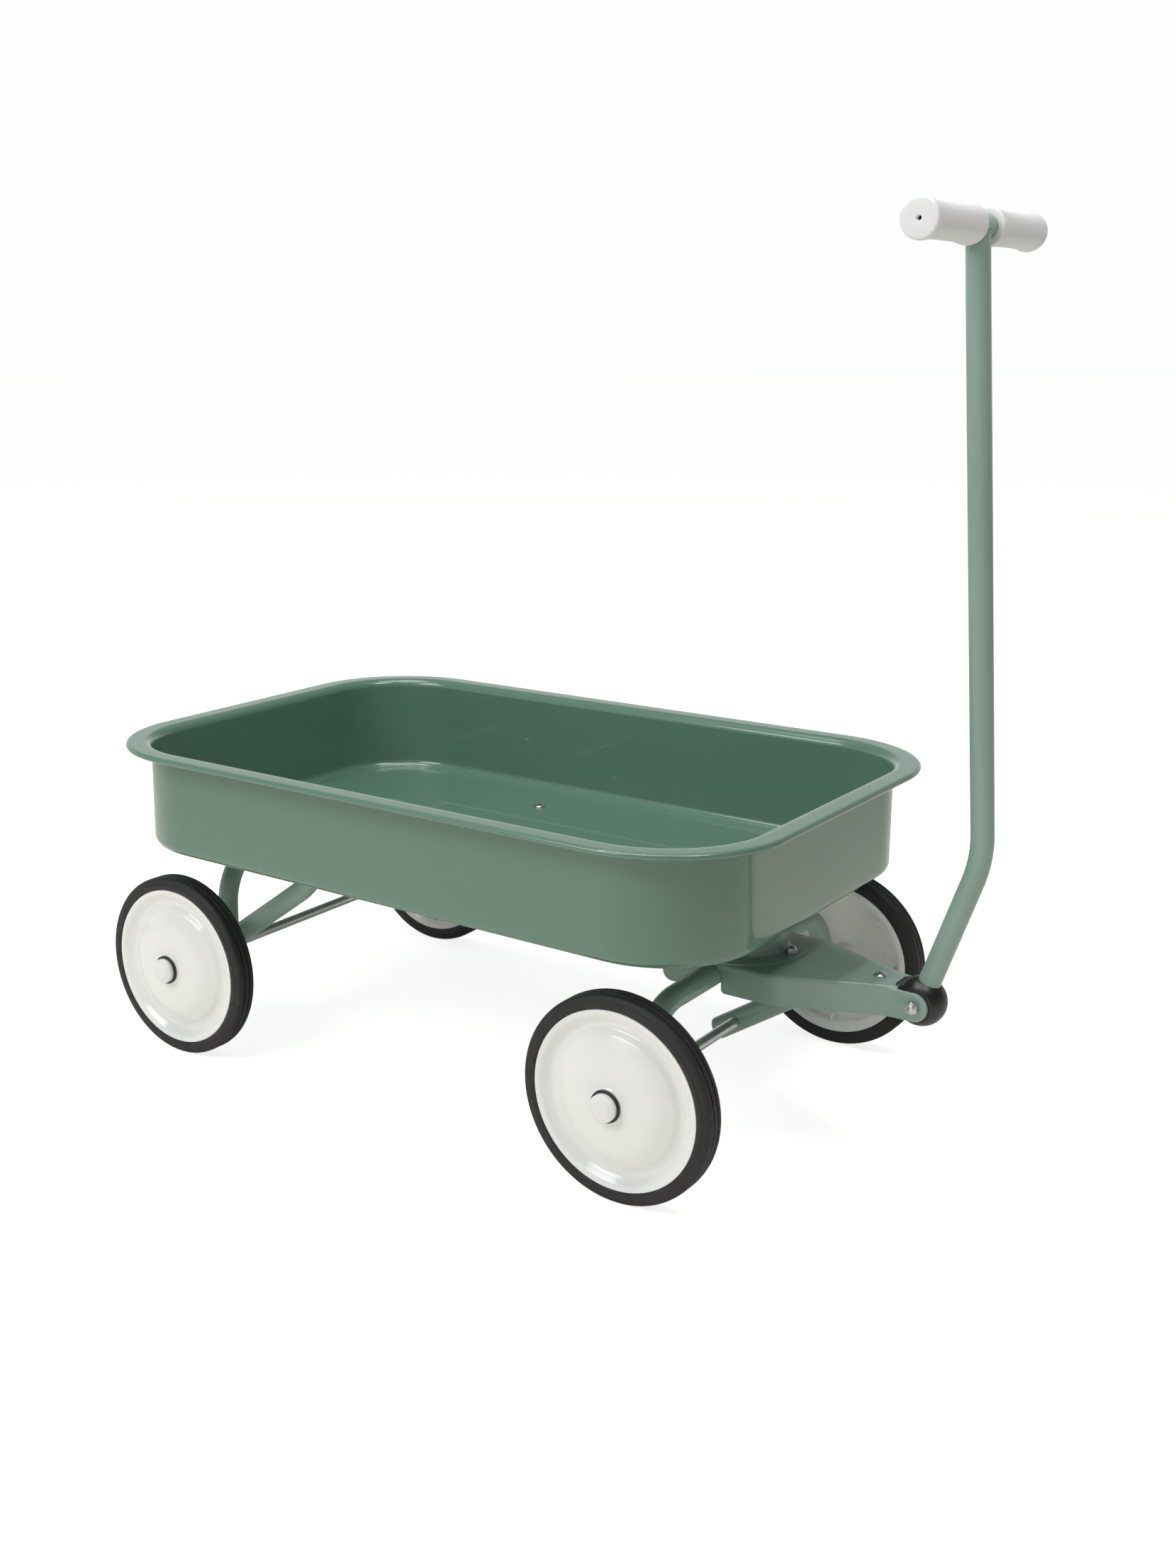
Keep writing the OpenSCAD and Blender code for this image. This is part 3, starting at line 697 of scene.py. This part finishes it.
def channel_ring(x):
    half, bend, low = bracket_half(x), 4.0, FLANGE_LOW - 2
    right = [(half, low), (half, PLATE_TOP - bend - 4)]
    right += arc(half - bend, PLATE_TOP - bend, bend, 0, 90, 6)
    right += [(half * f, PLATE_TOP) for f in (0.66, 0.33, 0.0)]
    outer = right + [(-y, z) for y, z in right[-2::-1]]
    inner_r = bend - BRACKET_T
    inside = [(half - BRACKET_T, low), (half - BRACKET_T, PLATE_TOP - bend - 4)]
    inside += arc(half - bend, PLATE_TOP - bend, inner_r, 0, 90, 4)
    inside += [(half * f, PLATE_TOP - BRACKET_T) for f in (0.66, 0.33, 0.0)]
    inner = inside + [(-y, z) for y, z in inside[-2::-1]]
    loop = outer + inner[::-1]
    return np.array([(x, y, z) for y, z in loop])


stations = sorted(set(np.linspace(143, 236, 12)) | set(np.linspace(240, 260, 11))
                  | set(np.linspace(265, 328, 10)) | set(np.linspace(331, 350, 11))
                  | set(np.linspace(353, 379, 6)))
channel = loft([channel_ring(x) for x in stations], caps=True)
slot_r = TUBE_R + 0.25
side_view = [(145, 170, 0), (145, FLANGE_LOW, 9), (FRONT_X - slot_r, FLANGE_LOW, 4)]
side_view += [(*p, 0) for p in arc(FRONT_X, FRONT_TOP, slot_r, 180, 0, 20)]
side_view += [(FRONT_X + slot_r, FLANGE_LOW, 4)]
side_view += [(*p, 0) for p in arc(EAR_X, FLANGE_LOW + EAR_R, EAR_R, -90, 90, 22)]
side_view += [(347, FLANGE_LOW + 2 * EAR_R, 1.2), (346, 170, 0)]
bracket = to_object("bracket_plate", channel, SAGE)
cut(bracket, prism(fillet(side_view, 0, 8), -80, 80, "xz"), "INTERSECT")
notch = [(342.6, -15.8, 8), (390, -15.8, 0), (390, 15.8, 0), (342.6, 15.8, 8)]
cut(bracket, prism(fillet(notch, 0, 10), 150, 170, "xy"))
soften(bracket, 0.35, 50)
fit(bracket, "front_truck", "green_paint", "bracket")

# %% [markdown]
# ## The riser and the running gear
#
# The riser is a pressed hat that carries the front frame on the kingpin. Axles are plain
# rods, with a spacer tube between each frame leg and wheel, and a black ring and a white
# push-on cap outside each wheel.

# %% Riser, axles, rings and caps
RISER_TOP = UNDER - 3.2
riser_line = fillet(
    [(4.05, RISER_TOP, 0), (38.0, RISER_TOP, 5), (41.0, PLATE_TOP + 1.5, 3),
     (57.5, PLATE_TOP + 1.5, 0.6), (57.5, PLATE_TOP, 0.3), (39.4, PLATE_TOP, 1.5),
     (36.2, RISER_TOP - 2, 3), (4.05, RISER_TOP - 2, 0)], 0.5, 8,
)
riser = moved(upright(lathe(riser_line, 160)), FRONT_X)
fit(to_object("riser_hat", riser, SAGE), "front_truck", "green_paint", "riser")


def rod(radius, start, end, bore=0.0, edge=0.5, sides=64):
    """A turned rod or sleeve along Y with broken edges."""
    outline = [(bore, start, 0), (radius, start, edge), (radius, end, edge), (bore, end, 0)]
    return lathe(fillet(outline, 0, 3), sides)


HALF_TRACK, HUB_OUT = 212.5, 9.5
axle_end = HALF_TRACK + HUB_OUT + 5.5
cap_at = HALF_TRACK + HUB_OUT + 2.5
cap_line = fillet(
    [(0, cap_at, 0), (11.8, cap_at, 0.4), (11.8, cap_at + 4.4, 0.7), (7.2, cap_at + 6.6, 0.9),
     (0, cap_at + 6.6, 0)], 0, 4,
)
ring_line = fillet(
    [(5.0, cap_at - 2.1, 0), (13.8, cap_at - 2.1, 0.6), (13.8, cap_at, 0.6), (5.0, cap_at, 0)],
    0, 4,
)
ends = (("rear", REAR_X, "chassis", 169), ("front", FRONT_X, "front_truck", 176.3))
for end, x, body, leg in ends:
    rods = {
        "axle_rod": (moved(rod(5, -axle_end, axle_end), x, 0, AXLE_Z), ZINC, "zinc_steel", "axle"),
        "spacer_tubes": (pair(moved(rod(7.5, leg, 190, 5.05), x, 0, AXLE_Z)), ZINC,
                         "zinc_steel", "spacers"),
        "end_caps": (pair(moved(lathe(cap_line, 72), x, 0, AXLE_Z)), CAP_WHITE, "white_cap",
                     "caps"),
        "hub_rings": (pair(moved(lathe(ring_line, 72), x, 0, AXLE_Z)), RING_BLACK, "black_ring",
                      "rings"),
    }
    for name, (part, material, slot, node) in rods.items():
        fit(to_object(f"{end}_{name}", part, material), body, slot, f"{end}_{node}")

# %% [markdown]
# ## Wheels and tyres
#
# Each wheel is one moulding: a dished disc with a raised centre, a deep channel round it, and
# a rim that the tyre sits on. Eight ribs stand on its back. The ribs are placed by a Geometry
# Nodes tree: a circle of points, with one rib turned outwards on each.

# %% Rib tree


def shape_tree(name, *inputs):
    """An empty Geometry Nodes tree with its named inputs: (tree, input node, output node)."""
    tree = bpy.data.node_groups.new(name, "GeometryNodeTree")
    sockets = [("Geometry", "Geometry"), *inputs, ("Material", "Material")]
    for label, kind in sockets:
        tree.interface.new_socket(label, in_out="INPUT", socket_type=f"NodeSocket{kind}")
    tree.interface.new_socket("Geometry", in_out="OUTPUT", socket_type="NodeSocketGeometry")
    return tree, tree.nodes.new("NodeGroupInput"), tree.nodes.new("NodeGroupOutput")


def close_tree(tree, shape, given, result):
    """Ends a tree: instances become real faces, and every face gets the material."""
    real = add(tree, "GeometryNodeRealizeInstances", {"Geometry": shape})
    dressed = add(tree, "GeometryNodeSetMaterial", {"Geometry": real.outputs["Geometry"],
                                                    "Material": given.outputs["Material"]})
    tree.links.new(dressed.outputs["Geometry"], result.inputs["Geometry"])
    return tree


def rib_tree():
    tree, given, result = shape_tree("ribs round a hub", ("Rib", "Object"), ("Count", "Int"),
                                     ("Radius", "Float"), ("Centre", "Vector"))
    circle = add(tree, "GeometryNodeMeshCircle", {"Vertices": given.outputs["Count"],
                                                 "Radius": given.outputs["Radius"]})
    where = add(tree, "GeometryNodeInputPosition")
    facing = add(tree, "FunctionNodeAlignRotationToVector",
                 {"Vector": where.outputs["Position"]}, axis="X", pivot_axis="Z")
    shape = add(tree, "GeometryNodeObjectInfo", {"Object": given.outputs["Rib"]})
    placed = add(tree, "GeometryNodeInstanceOnPoints", {
        "Points": circle.outputs["Mesh"], "Instance": shape.outputs["Geometry"],
        "Rotation": facing.outputs["Rotation"]})
    stood = add(tree, "GeometryNodeTransform", {
        "Geometry": placed.outputs["Instances"], "Translation": given.outputs["Centre"],
        "Rotation": (math.radians(90), 0, 0)})
    whole = add(tree, "GeometryNodeJoinGeometry")
    tree.links.new(stood.outputs["Geometry"], whole.inputs["Geometry"])
    tree.links.new(given.outputs["Geometry"], whole.inputs["Geometry"])
    return close_tree(tree, whole.outputs["Geometry"], given, result)


def grow(obj, tree, sharp=38, **inputs):
    """Runs a Geometry Nodes tree on the object and keeps the result as its mesh."""
    mod = obj.modifiers.new("grow", "NODES")
    mod.node_group = tree
    for item in tree.interface.items_tree:
        if item.item_type == "SOCKET" and item.in_out == "INPUT" and item.name in inputs:
            mod[item.identifier] = inputs[item.name]
    obj.update_tag()
    return bake(obj, sharp)


RIBS = rib_tree()
print("rib tree nodes:", len(RIBS.nodes))

# %% Wheels
wheel_line = fillet([
    (5.05, 9.5, 0), (14.2, 9.5, 0.7), (15.6, 8.4, 1.2), (30, 7.4, 60), (41, 5.4, 24),
    (46.5, 3.0, 9), (55.5, -2.2, 6), (59.5, -6.6, 5), (64.5, -7.9, 6), (68.2, -5.0, 5),
    (72.4, -0.9, 5), (76.8, 0, 0.5), (76.8, -1.6, 0.5), (73, -2.4, 3), (70, -4.2, 2),
    (69, -6, 1), (69, -16, 1), (70, -18, 2), (73, -20.2, 2), (75.6, -20.8, 0.5),
    (75.6, -22, 0.5), (71, -21.8, 2), (66.4, -19, 2), (66.4, -10.4, 1), (60.5, -9.8, 3),
    (54.6, -5.2, 4), (46, 0.1, 4), (41, 2.3, 4), (29.5, 4.8, 12), (15, 6.2, 3), (8.5, 5, 1),
    (8.5, -22, 0.8), (5.05, -22, 0.3),
], 0, 6)
tread = [(88.9, -5, 1.5)]
for groove in (-8, -14):
    tread += [(88.9, groove + 0.9, 0.35), (87.3, groove + 0.6, 0.3), (87.3, groove - 0.6, 0.3),
              (88.9, groove - 0.9, 0.35)]
tread += [(88.9, -17, 1.5)]
tyre_line = fillet([
    (69.1, -6.1, 1), (70.1, -4.3, 2), (73.1, -2.55, 2), (76.8, -1.7, 0.3), (77.1, -0.3, 0.5),
    (78.5, 0.5, 0.7), (81.8, 0.7, 0.5), (82.4, 0.1, 0.4), (85.4, -0.5, 3), (87.6, -1.6, 2),
    (88.6, -3.0, 1.2), *tread, (88.6, -19.0, 1.2), (87.6, -20.4, 2), (85.4, -21.5, 3),
    (82.4, -22.1, 0.4), (81.8, -22.7, 0.5), (78.5, -22.5, 0.7), (76.4, -21.6, 0.5),
    (75.7, -20.7, 0.5), (73.1, -20.05, 2), (70.1, -17.9, 2), (69.1, -15.9, 1),
], 0, 3)
wheel_part, tyre_part = lathe(wheel_line, 160), lathe(tyre_line, 180)

rib_shape = fillet([(-3.4, -0.9, 0.3), (3.4, -0.9, 0.3), (3.4, 0.9, 0.3), (-3.4, 0.9, 0.3)], 0, 3)
rib = soften(to_object("rib", prism(rib_shape, -5.05, 5.05, "xy"), WHITE), 0.3)

for end, x in (("rear", REAR_X), ("front", FRONT_X)):
    for hand, sign in (("left", 1), ("right", -1)):
        body = f"running_{end}_{hand}"
        disc, rubber = (moved(p, 0, HALF_TRACK) for p in (wheel_part, tyre_part))
        if sign < 0:
            disc, rubber = mirrored(disc), mirrored(rubber)
        disc, rubber = (moved(p, x, 0, AXLE_Z) for p in (disc, rubber))
        wheel = to_object(f"{end}_{hand}_wheel_disc", disc, WHITE)
        hub = (x * MM, sign * (HALF_TRACK - 14.1) * MM, AXLE_Z * MM)
        grow(wheel, RIBS, Rib=rib, Count=8, Radius=0.0632, Centre=hub, Material=WHITE)
        fit(wheel, body, "white_wheel", f"wheel_{end}_{hand}")
        fit(to_object(f"{end}_{hand}_tyre_ring", rubber, RUBBER, sharp=50), body, "black_tyre",
            f"tyre_{end}_{hand}")
bpy.data.objects.remove(rib)

# %% [markdown]
# ## Screws and nuts
#
# A hexagon is drawn as rings whose radius follows the flats but never passes a turned
# chamfer. The pan heads have a cross recess.

# %% Fasteners


def nut(across, height, bore=0.0, dome=0.0, collar=0.0, sides=96):
    """A chamfered hexagon along Z with a dome, or a round collar, or a bore through it."""
    angle = np.linspace(0, 2 * math.pi, sides, endpoint=False)
    flats = (across / 2) / np.cos((angle + math.pi / 6) % (math.pi / 3) - math.pi / 6)
    chamfer, corner = across * 0.49, across / math.sqrt(3)

    def ring(limit, z):
        r = np.minimum(flats, limit)
        return np.stack([r * np.cos(angle), r * np.sin(angle), np.full(sides, float(z))], 1)

    rings = [ring(max(bore, 0.001), 0), ring(chamfer, 0), ring(across * 0.53, 0.28)]
    rings += [ring(corner, 0.75), ring(corner, height - 0.75), ring(across * 0.53, height - 0.28)]
    rings.append(ring(chamfer * 0.98, height))
    if dome:
        for a in np.radians(np.linspace(0, 90, 14)):
            rings.append(ring(max(dome * math.cos(a), 0.001), height + dome * math.sin(a) * 0.68))
    elif collar:
        rings += [ring(across * 0.43, height), ring(across * 0.43, height + collar - 0.4)]
        rings += [ring(across * 0.39, height + collar), ring(bore, height + collar)]
    else:
        rings.append(ring(bore, height))
    return loft(rings, loop=bore > 0)


def pan_head(radius, height, shank, length):
    """A pan-head screw along Z, with the underside of its head at z = 0."""
    line = [(0, -length, 0), (shank, -length, 0.5), (shank, 0, 0), (radius, 0, 0.3),
            (radius, height * 0.42, 1.6), (radius * 0.62, height * 0.93, 4), (0, height, 0)]
    return upright(lathe(fillet(line, 0, 5), 56))


def cross_recess(height):
    arm, half = 2.6, 0.62
    plus = np.array([(arm, -half), (arm, half), (half, half), (half, arm), (-half, arm),
                     (-half, half), (-arm, half), (-arm, -half), (-half, -half), (-half, -arm),
                     (half, -arm), (half, -half)])
    return prism(plus, height - 1.4, height + 1, "xy")


def screw(name, places, body, node, length, turn=25, flip=False):
    """Pan-head screws with their heads at the given places, in one piece."""
    head = to_object(name, pan_head(6, 2.7, 3, length), ZINC)
    cut(head, turned_z(cross_recess(2.7), turn))
    count = len(head.data.vertices)
    co = np.empty(count * 3)
    head.data.vertices.foreach_get("co", co)
    co = co.reshape(-1, 3) / MM
    faces = [tuple(p.vertices) for p in head.data.polygons]
    bpy.data.objects.remove(head)
    if flip:
        co = co * np.array([1, -1, -1])
    whole = joined(*[(co + np.array(p), faces) for p in places])
    return fit(to_object(name, whole, ZINC, sharp=30), body, "zinc_steel", node)


floor_top = UNDER + SHEET
screw("tray_pan_screws", [(REAR_X, 40, floor_top), (REAR_X, -40, floor_top),
                          (REAR_X + SCREW_X, SCREW_Y, floor_top),
                          (REAR_X + SCREW_X, -SCREW_Y, floor_top)], "chassis", "tray_screws", 11)
screw("brace_pan_screw", [(FRONT_X + BRACE_REACH, 0, PLATE_TOP)], "front_truck", "brace_screw",
      13, 40)
studs = [(FRONT_X + 48.5 * math.cos(a), 48.5 * math.sin(a))
         for a in np.radians([0, 120, 240])]
screw("riser_pan_screws", [(x, y, PLATE_TOP - BRACKET_T) for x, y in studs], "front_truck",
      "riser_screws", 8, flip=True)
dome_nut = nut(10, 4, dome=4.5)
dome_nuts = joined(*[moved(dome_nut, x, y, PLATE_TOP + 1.5) for x, y in studs])
fit(to_object("riser_dome_nuts", dome_nuts, ZINC, sharp=30), "front_truck", "zinc_steel",
    "riser_nuts")

NUT_DROP = 8.2  # from the sheet's underside to the nut's lower face, past the brace's tab
plain_nut = nut(10, 5, bore=3.0)
tray_nuts = joined(*[moved(plain_nut, REAR_X + SCREW_X, y, UNDER - NUT_DROP)
                     for y in (SCREW_Y, -SCREW_Y)])
fit(to_object("brace_hex_nuts", tray_nuts, ZINC, sharp=30), "chassis", "zinc_steel", "tray_nuts")
low_nut = moved(plain_nut, FRONT_X + BRACE_REACH, 0, UNDER_PLATE - NUT_DROP)
fit(to_object("front_brace_hex_nut", low_nut, ZINC, sharp=30), "front_truck", "zinc_steel",
    "brace_nut")


def along_y(part, sign):
    """Turns a part from the Z axis to point along +Y or -Y."""
    verts, faces = part
    return np.stack([verts[:, 0], sign * verts[:, 2], -sign * verts[:, 1]], 1), faces


bolt = joined(rod(3, -(EAR_HALF + 7.2), EAR_HALF + 0.1, edge=0.6, sides=40),
              moved(along_y(nut(10, 4), 1), 0, EAR_HALF + 0.1))
fit(to_object("hinge_hex_bolt", moved(bolt, HINGE_X, 0, HINGE_Z), ZINC, sharp=30),
    "front_truck", "zinc_steel", "hinge_bolt")
lock_nut = moved(along_y(nut(10, 4.8, bore=3.0, collar=1.4), -1), HINGE_X, -(EAR_HALF + 0.2),
                 HINGE_Z)
fit(to_object("hinge_lock_nut", lock_nut, ZINC, sharp=30), "front_truck", "zinc_steel",
    "hinge_nut")

# %% [markdown]
# ## The pull handle
#
# The handle is one tube that leans forward out of its ball, bends once, and rises to the
# crossbar. Its top is cut to the crossbar's curve and welded there. The weld is a row of
# small beads that a Geometry Nodes tree lays along the joint.

# %% Handle tube
LEAN, KNEE_TURN, KNEE_R = math.radians(18.7), math.radians(18.7 + 3.93), 108.0
LOWER_END = 138.6 - KNEE_R * math.tan(KNEE_TURN / 2)
UPPER_RUN = 494.0 - KNEE_R * math.tan(KNEE_TURN / 2)
HANDLE_R = 9.5


def hinge_to_wagon(points):
    """From the handle's own axes (z up its lower leg) to the wagon's."""
    p = np.asarray(points, float).reshape(-1, 3)
    x = HINGE_X + p[:, 0] * math.cos(LEAN) + p[:, 2] * math.sin(LEAN)
    z = HINGE_Z - p[:, 0] * math.sin(LEAN) + p[:, 2] * math.cos(LEAN)
    return np.stack([x, p[:, 1], z], 1)


knee = [(-KNEE_R + KNEE_R * math.cos(a), 0, LOWER_END + KNEE_R * math.sin(a))
        for a in np.linspace(0, KNEE_TURN, 22)]
rise = np.array([-math.sin(KNEE_TURN), 0, math.cos(KNEE_TURN)])
handle_path = [(0, 0, z) for z in np.linspace(7, LOWER_END, 7)[:-1]] + knee
handle_path += [tuple(np.array(knee[-1]) + rise * d) for d in np.linspace(0, UPPER_RUN, 14)[1:]]
top_centre = hinge_to_wagon([handle_path[-1]])[0]
rise_dir = hinge_to_wagon([rise])[0] - hinge_to_wagon([(0, 0, 0)])[0]


def saddle(angle, r):
    """How far below the crossbar's centre line the tube's end meets the crossbar."""
    across = r * np.cos(angle)
    return -np.sqrt(np.maximum(HANDLE_R ** 2 - across ** 2, 0.0)) + 0.1


handle = tube(hinge_to_wagon(handle_path), (0, 1, 0), HANDLE_R - 0.02, 1.5, 64, saddle)
fit(to_object("handle_tube_bent", handle, SAGE), "pull_handle", "green_paint", "handle_tube")

crossbar_path = [(top_centre[0], y, top_centre[2]) for y in np.linspace(-108, 108, 13)]
crossbar = tube(crossbar_path, (0, 0, 1), HANDLE_R, 1.5, 64)
fit(to_object("crossbar_tube", crossbar, SAGE), "pull_handle", "green_paint", "crossbar")

# %% Weld along the saddle


def weld_tree():
    tree, given, result = shape_tree("beads along a path", ("Count", "Int"), ("Bead", "Float"),
                                     ("Seed", "Int"))
    line = add(tree, "GeometryNodeMeshToCurve", {"Mesh": given.outputs["Geometry"]})
    spaced = add(tree, "GeometryNodeResampleCurve", {"Curve": line.outputs["Curve"],
                                                    "Count": given.outputs["Count"]})
    bead = add(tree, "GeometryNodeMeshIcoSphere", {"Radius": given.outputs["Bead"],
                                                   "Subdivisions": 3})
    size = add(tree, "FunctionNodeRandomValue", {"Seed": given.outputs["Seed"]},
               data_type="FLOAT")
    size.inputs[2].default_value, size.inputs[3].default_value = 0.85, 1.15
    placed = add(tree, "GeometryNodeInstanceOnPoints", {
        "Points": spaced.outputs["Curve"], "Instance": bead.outputs["Mesh"],
        "Scale": size.outputs[1]})
    return close_tree(tree, placed.outputs["Instances"], given, result)


loop_angle = np.linspace(0, 2 * math.pi, 72, endpoint=False)
across = np.cross((0, 1, 0), rise_dir)
weld_line = np.array([
    top_centre + rise_dir * (-math.sqrt(max(HANDLE_R ** 2 - (9.3 * math.cos(a)) ** 2, 0)) - 0.2)
    + 9.4 * (math.cos(a) * across + math.sin(a) * np.array([0, 1, 0])) for a in loop_angle
])
mesh = bpy.data.meshes.new("weld_bead")
mesh.from_pydata((weld_line * MM).tolist(), [(i, (i + 1) % 72) for i in range(72)], [])
weld = bpy.data.objects.new("weld_bead", mesh)
bpy.context.scene.collection.objects.link(weld)
grow(weld, weld_tree(), Count=64, Bead=0.0011, Seed=4, Material=SAGE)
fit(weld, "pull_handle", "green_paint")

# %% Ball and grips
ball_r, ball_half = 21.3, 15.5
edge = math.degrees(math.asin(ball_half / ball_r))
ball_line = [(3.05, -ball_half, 0.3)]
ball_line += [(*p, 0.8 if i in (0, 24) else 0)
              for i, p in enumerate(arc(0, 0, ball_r, -edge, edge, 24))]
ball_line += [(3.05, ball_half, 0.3)]
ball = lathe(fillet(ball_line, 0, 4), 112)
ball = to_object("handle_ball_body", moved(ball, HINGE_X, 0, HINGE_Z), BALL_BLACK)
bore = upright(lathe(fillet([(0, 7, 0), (9.52, 7, 0), (9.52, 40, 0), (0, 40, 0)], 0), 72))
cut(ball, (hinge_to_wagon(bore[0]), bore[1]))
soften(ball, 0.4, 50)
fit(ball, "pull_handle", "black_ball", "handle_ball")

GRIP, LENGTH, GAP = 15.4, 96.0, 32.0
half_line = [(GRIP - 2.6, 0.1), (GRIP - 1.2, 0.35), (GRIP - 0.35, 1.2), (GRIP, 3), (GRIP - 0.05, 6),
             (GRIP - 0.45, 10), (GRIP - 1.0, 14.5), (GRIP - 1.45, 20), (GRIP - 1.7, 28),
             (GRIP - 1.8, 38)]
body_line = half_line + [(GRIP - 1.8, LENGTH / 2)] + [(r, LENGTH - y) for r, y in half_line[::-1]]
grip_line = [(HANDLE_R + 0.02, 0, 0.3)] + [(r, y, 20) for r, y in body_line]
grip_line += [(8.0, LENGTH, 2), (1.9, LENGTH, 0.5), (1.6, LENGTH - 4, 0),
              (HANDLE_R + 0.02, LENGTH - 4, 0)]
grip = lathe(fillet(grip_line, 0, 4), 112)
grip = moved(grip, top_centre[0], GAP / 2, top_centre[2])
fit(to_object("grip_sleeve_left", grip, GRIP_WHITE), "pull_handle", "white_grip", "grip_left")
fit(to_object("grip_sleeve_right", mirrored(grip), GRIP_WHITE), "pull_handle", "white_grip",
    "grip_right")

# %% [markdown]
# ## CAD pieces that are shown as they are
#
# The kingpin, its nut and the nylon washer are simple turned parts, so the CAD meshes are
# kept and only get a finish.

# %% Finishes on the kept CAD pieces
for name, material in (("kingpin", ZINC), ("kingpin_nut", ZINC), ("turn_washer", NYLON)):
    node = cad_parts[name]
    node.data.materials.clear()
    node.data.materials.append(material)
    print("kept CAD piece:", name)

# %% [markdown]
# ## Floor, light and camera
#
# The wagon stands on a plain pale floor. Three narrow lamps overhead make the highlights on
# the rim and the floor of the tray, a wide softbox on the near side shapes the wheels and
# walls, and a small one ahead lifts the bracket. The room itself is bright only low down, so
# the glossy walls reflect a pale band and the inside of the tray stays darker.

# %% Studio
floor_mat = bpy.data.materials.new("studio floor")
floor_mat.use_nodes = True
floor_surface = floor_mat.node_tree.nodes["Principled BSDF"]
floor_surface.inputs["Roughness"].default_value = 0.9
floor_surface.inputs["Specular IOR Level"].default_value = 0.1
floor_surface.inputs["Emission Color"].default_value = (1.0, 0.995, 0.985, 1)
# the camera sees the floor lit a little more than the wagon does, so it reads as white
seen = add(floor_mat.node_tree, "ShaderNodeLightPath").outputs["Is Camera Ray"]
glow = add(floor_mat.node_tree, "ShaderNodeMapRange",
           {"Value": seen, "To Min": 0.10, "To Max": 0.80})
floor_mat.node_tree.links.new(glow.outputs["Result"], floor_surface.inputs["Emission Strength"])
board = add(floor_mat.node_tree, "ShaderNodeMix", {"Factor": seen}, data_type="RGBA")
board.inputs["A"].default_value = (0.90, 0.87, 0.79, 1)
board.inputs["B"].default_value = (0.90, 0.90, 0.90, 1)
floor_mat.node_tree.links.new(board.outputs["Result"], floor_surface.inputs["Base Color"])
floor_mesh = bpy.data.meshes.new("studio_floor")
floor_mesh.from_pydata([(-30, -30, 0), (30, -30, 0), (30, 30, 0), (-30, 30, 0)], [],
                       [(0, 1, 2, 3)])
floor_mesh.materials.append(floor_mat)
studio_floor = bpy.data.objects.new("studio_floor", floor_mesh)
bpy.context.scene.collection.objects.link(studio_floor)

# %% Room
# the walls are bright low down, dimmer overhead and ahead of the wagon
world = bpy.data.worlds.new("studio")
world.use_nodes = True
walls = world.node_tree
sky = walls.nodes["Background"]
facing = add(walls, "ShaderNodeTexCoord").outputs["Generated"]
height = add(walls, "ShaderNodeSeparateXYZ", {"Vector": facing}).outputs["Z"]
low = add(walls, "ShaderNodeMapRange", {"Value": height, "From Min": 0.04, "From Max": 0.50,
                                        "To Min": 0.88, "To Max": 0.18},
          interpolation_type="SMOOTHSTEP")
ahead = add(walls, "ShaderNodeVectorMath", {0: facing, 1: (1.0, 0.05, 0.0)},
            operation="DOT_PRODUCT")
front = add(walls, "ShaderNodeMapRange", {"Value": ahead.outputs["Value"], "From Min": 0.1,
                                          "From Max": 0.9, "To Min": 1.0, "To Max": 0.34},
            interpolation_type="SMOOTHSTEP")
level = add(walls, "ShaderNodeMath", {0: low.outputs["Result"], 1: front.outputs["Result"]},
            operation="MULTIPLY")
backdrop = add(walls, "ShaderNodeMix", {
    "Factor": add(walls, "ShaderNodeLightPath").outputs["Is Camera Ray"],
    "A": level.outputs["Value"], "B": 1.0}, data_type="FLOAT")
walls.links.new(backdrop.outputs["Result"], sky.inputs["Strength"])
sky.inputs["Color"].default_value = (0.985, 0.995, 1.0, 1)
bpy.context.scene.world = world
bpy.context.scene.view_settings.view_transform = "Standard"


# %% Lamps


def softbox(name, place, aim, size, power, colour=(1, 1, 1)):
    """An area light at a place, turned to a point it lights. Sizes are in metres."""
    light = bpy.data.lights.new(name, "AREA")
    light.shape, light.size, light.size_y = "RECTANGLE", size[0], size[1]
    light.energy, light.color = power, colour
    obj = bpy.data.objects.new(name, light)
    obj.location = place
    obj.rotation_euler = (Vector(aim) - Vector(place)).to_track_quat("-Z", "Y").to_euler()
    bpy.context.scene.collection.objects.link(obj)
    return obj


for place in (-0.75, -0.30, 0.15):
    softbox(f"tube_{place}", (place, -0.25, 2.5), (place, -0.1, 0.2), (0.10, 1.5), 9)
softbox("near_side", (-0.6, -1.9, 1.8), (-0.1, -0.2, 0.25), (1.3, 0.8), 21, (0.97, 0.99, 1.0))
softbox("ahead", (0.95, -0.15, 2.3), (0.35, 0, 0.2), (0.6, 0.6), 13)

# %% Camera
camera_data = bpy.data.cameras.new("camera")
camera = bpy.data.objects.new("camera", camera_data)
bpy.context.scene.collection.objects.link(camera)
camera.matrix_world = Matrix((
    (0.80021, -0.1252, 0.5865, 0.87088),
    (0.59971, 0.17183, -0.78155, -1.28744),
    (-0.00293, 0.97714, 0.21259, 0.68862),
    (0.0, 0.0, 0.0, 1.0),
))
camera_data.sensor_fit, camera_data.sensor_width = "HORIZONTAL", 36
camera_data.lens, camera_data.shift_x, camera_data.shift_y = 51.95, 0.0891, -0.06412
camera_data.clip_start, camera_data.clip_end = 0.05, 200
bpy.context.scene.camera = camera
print("camera at", [round(v, 3) for v in camera.location])
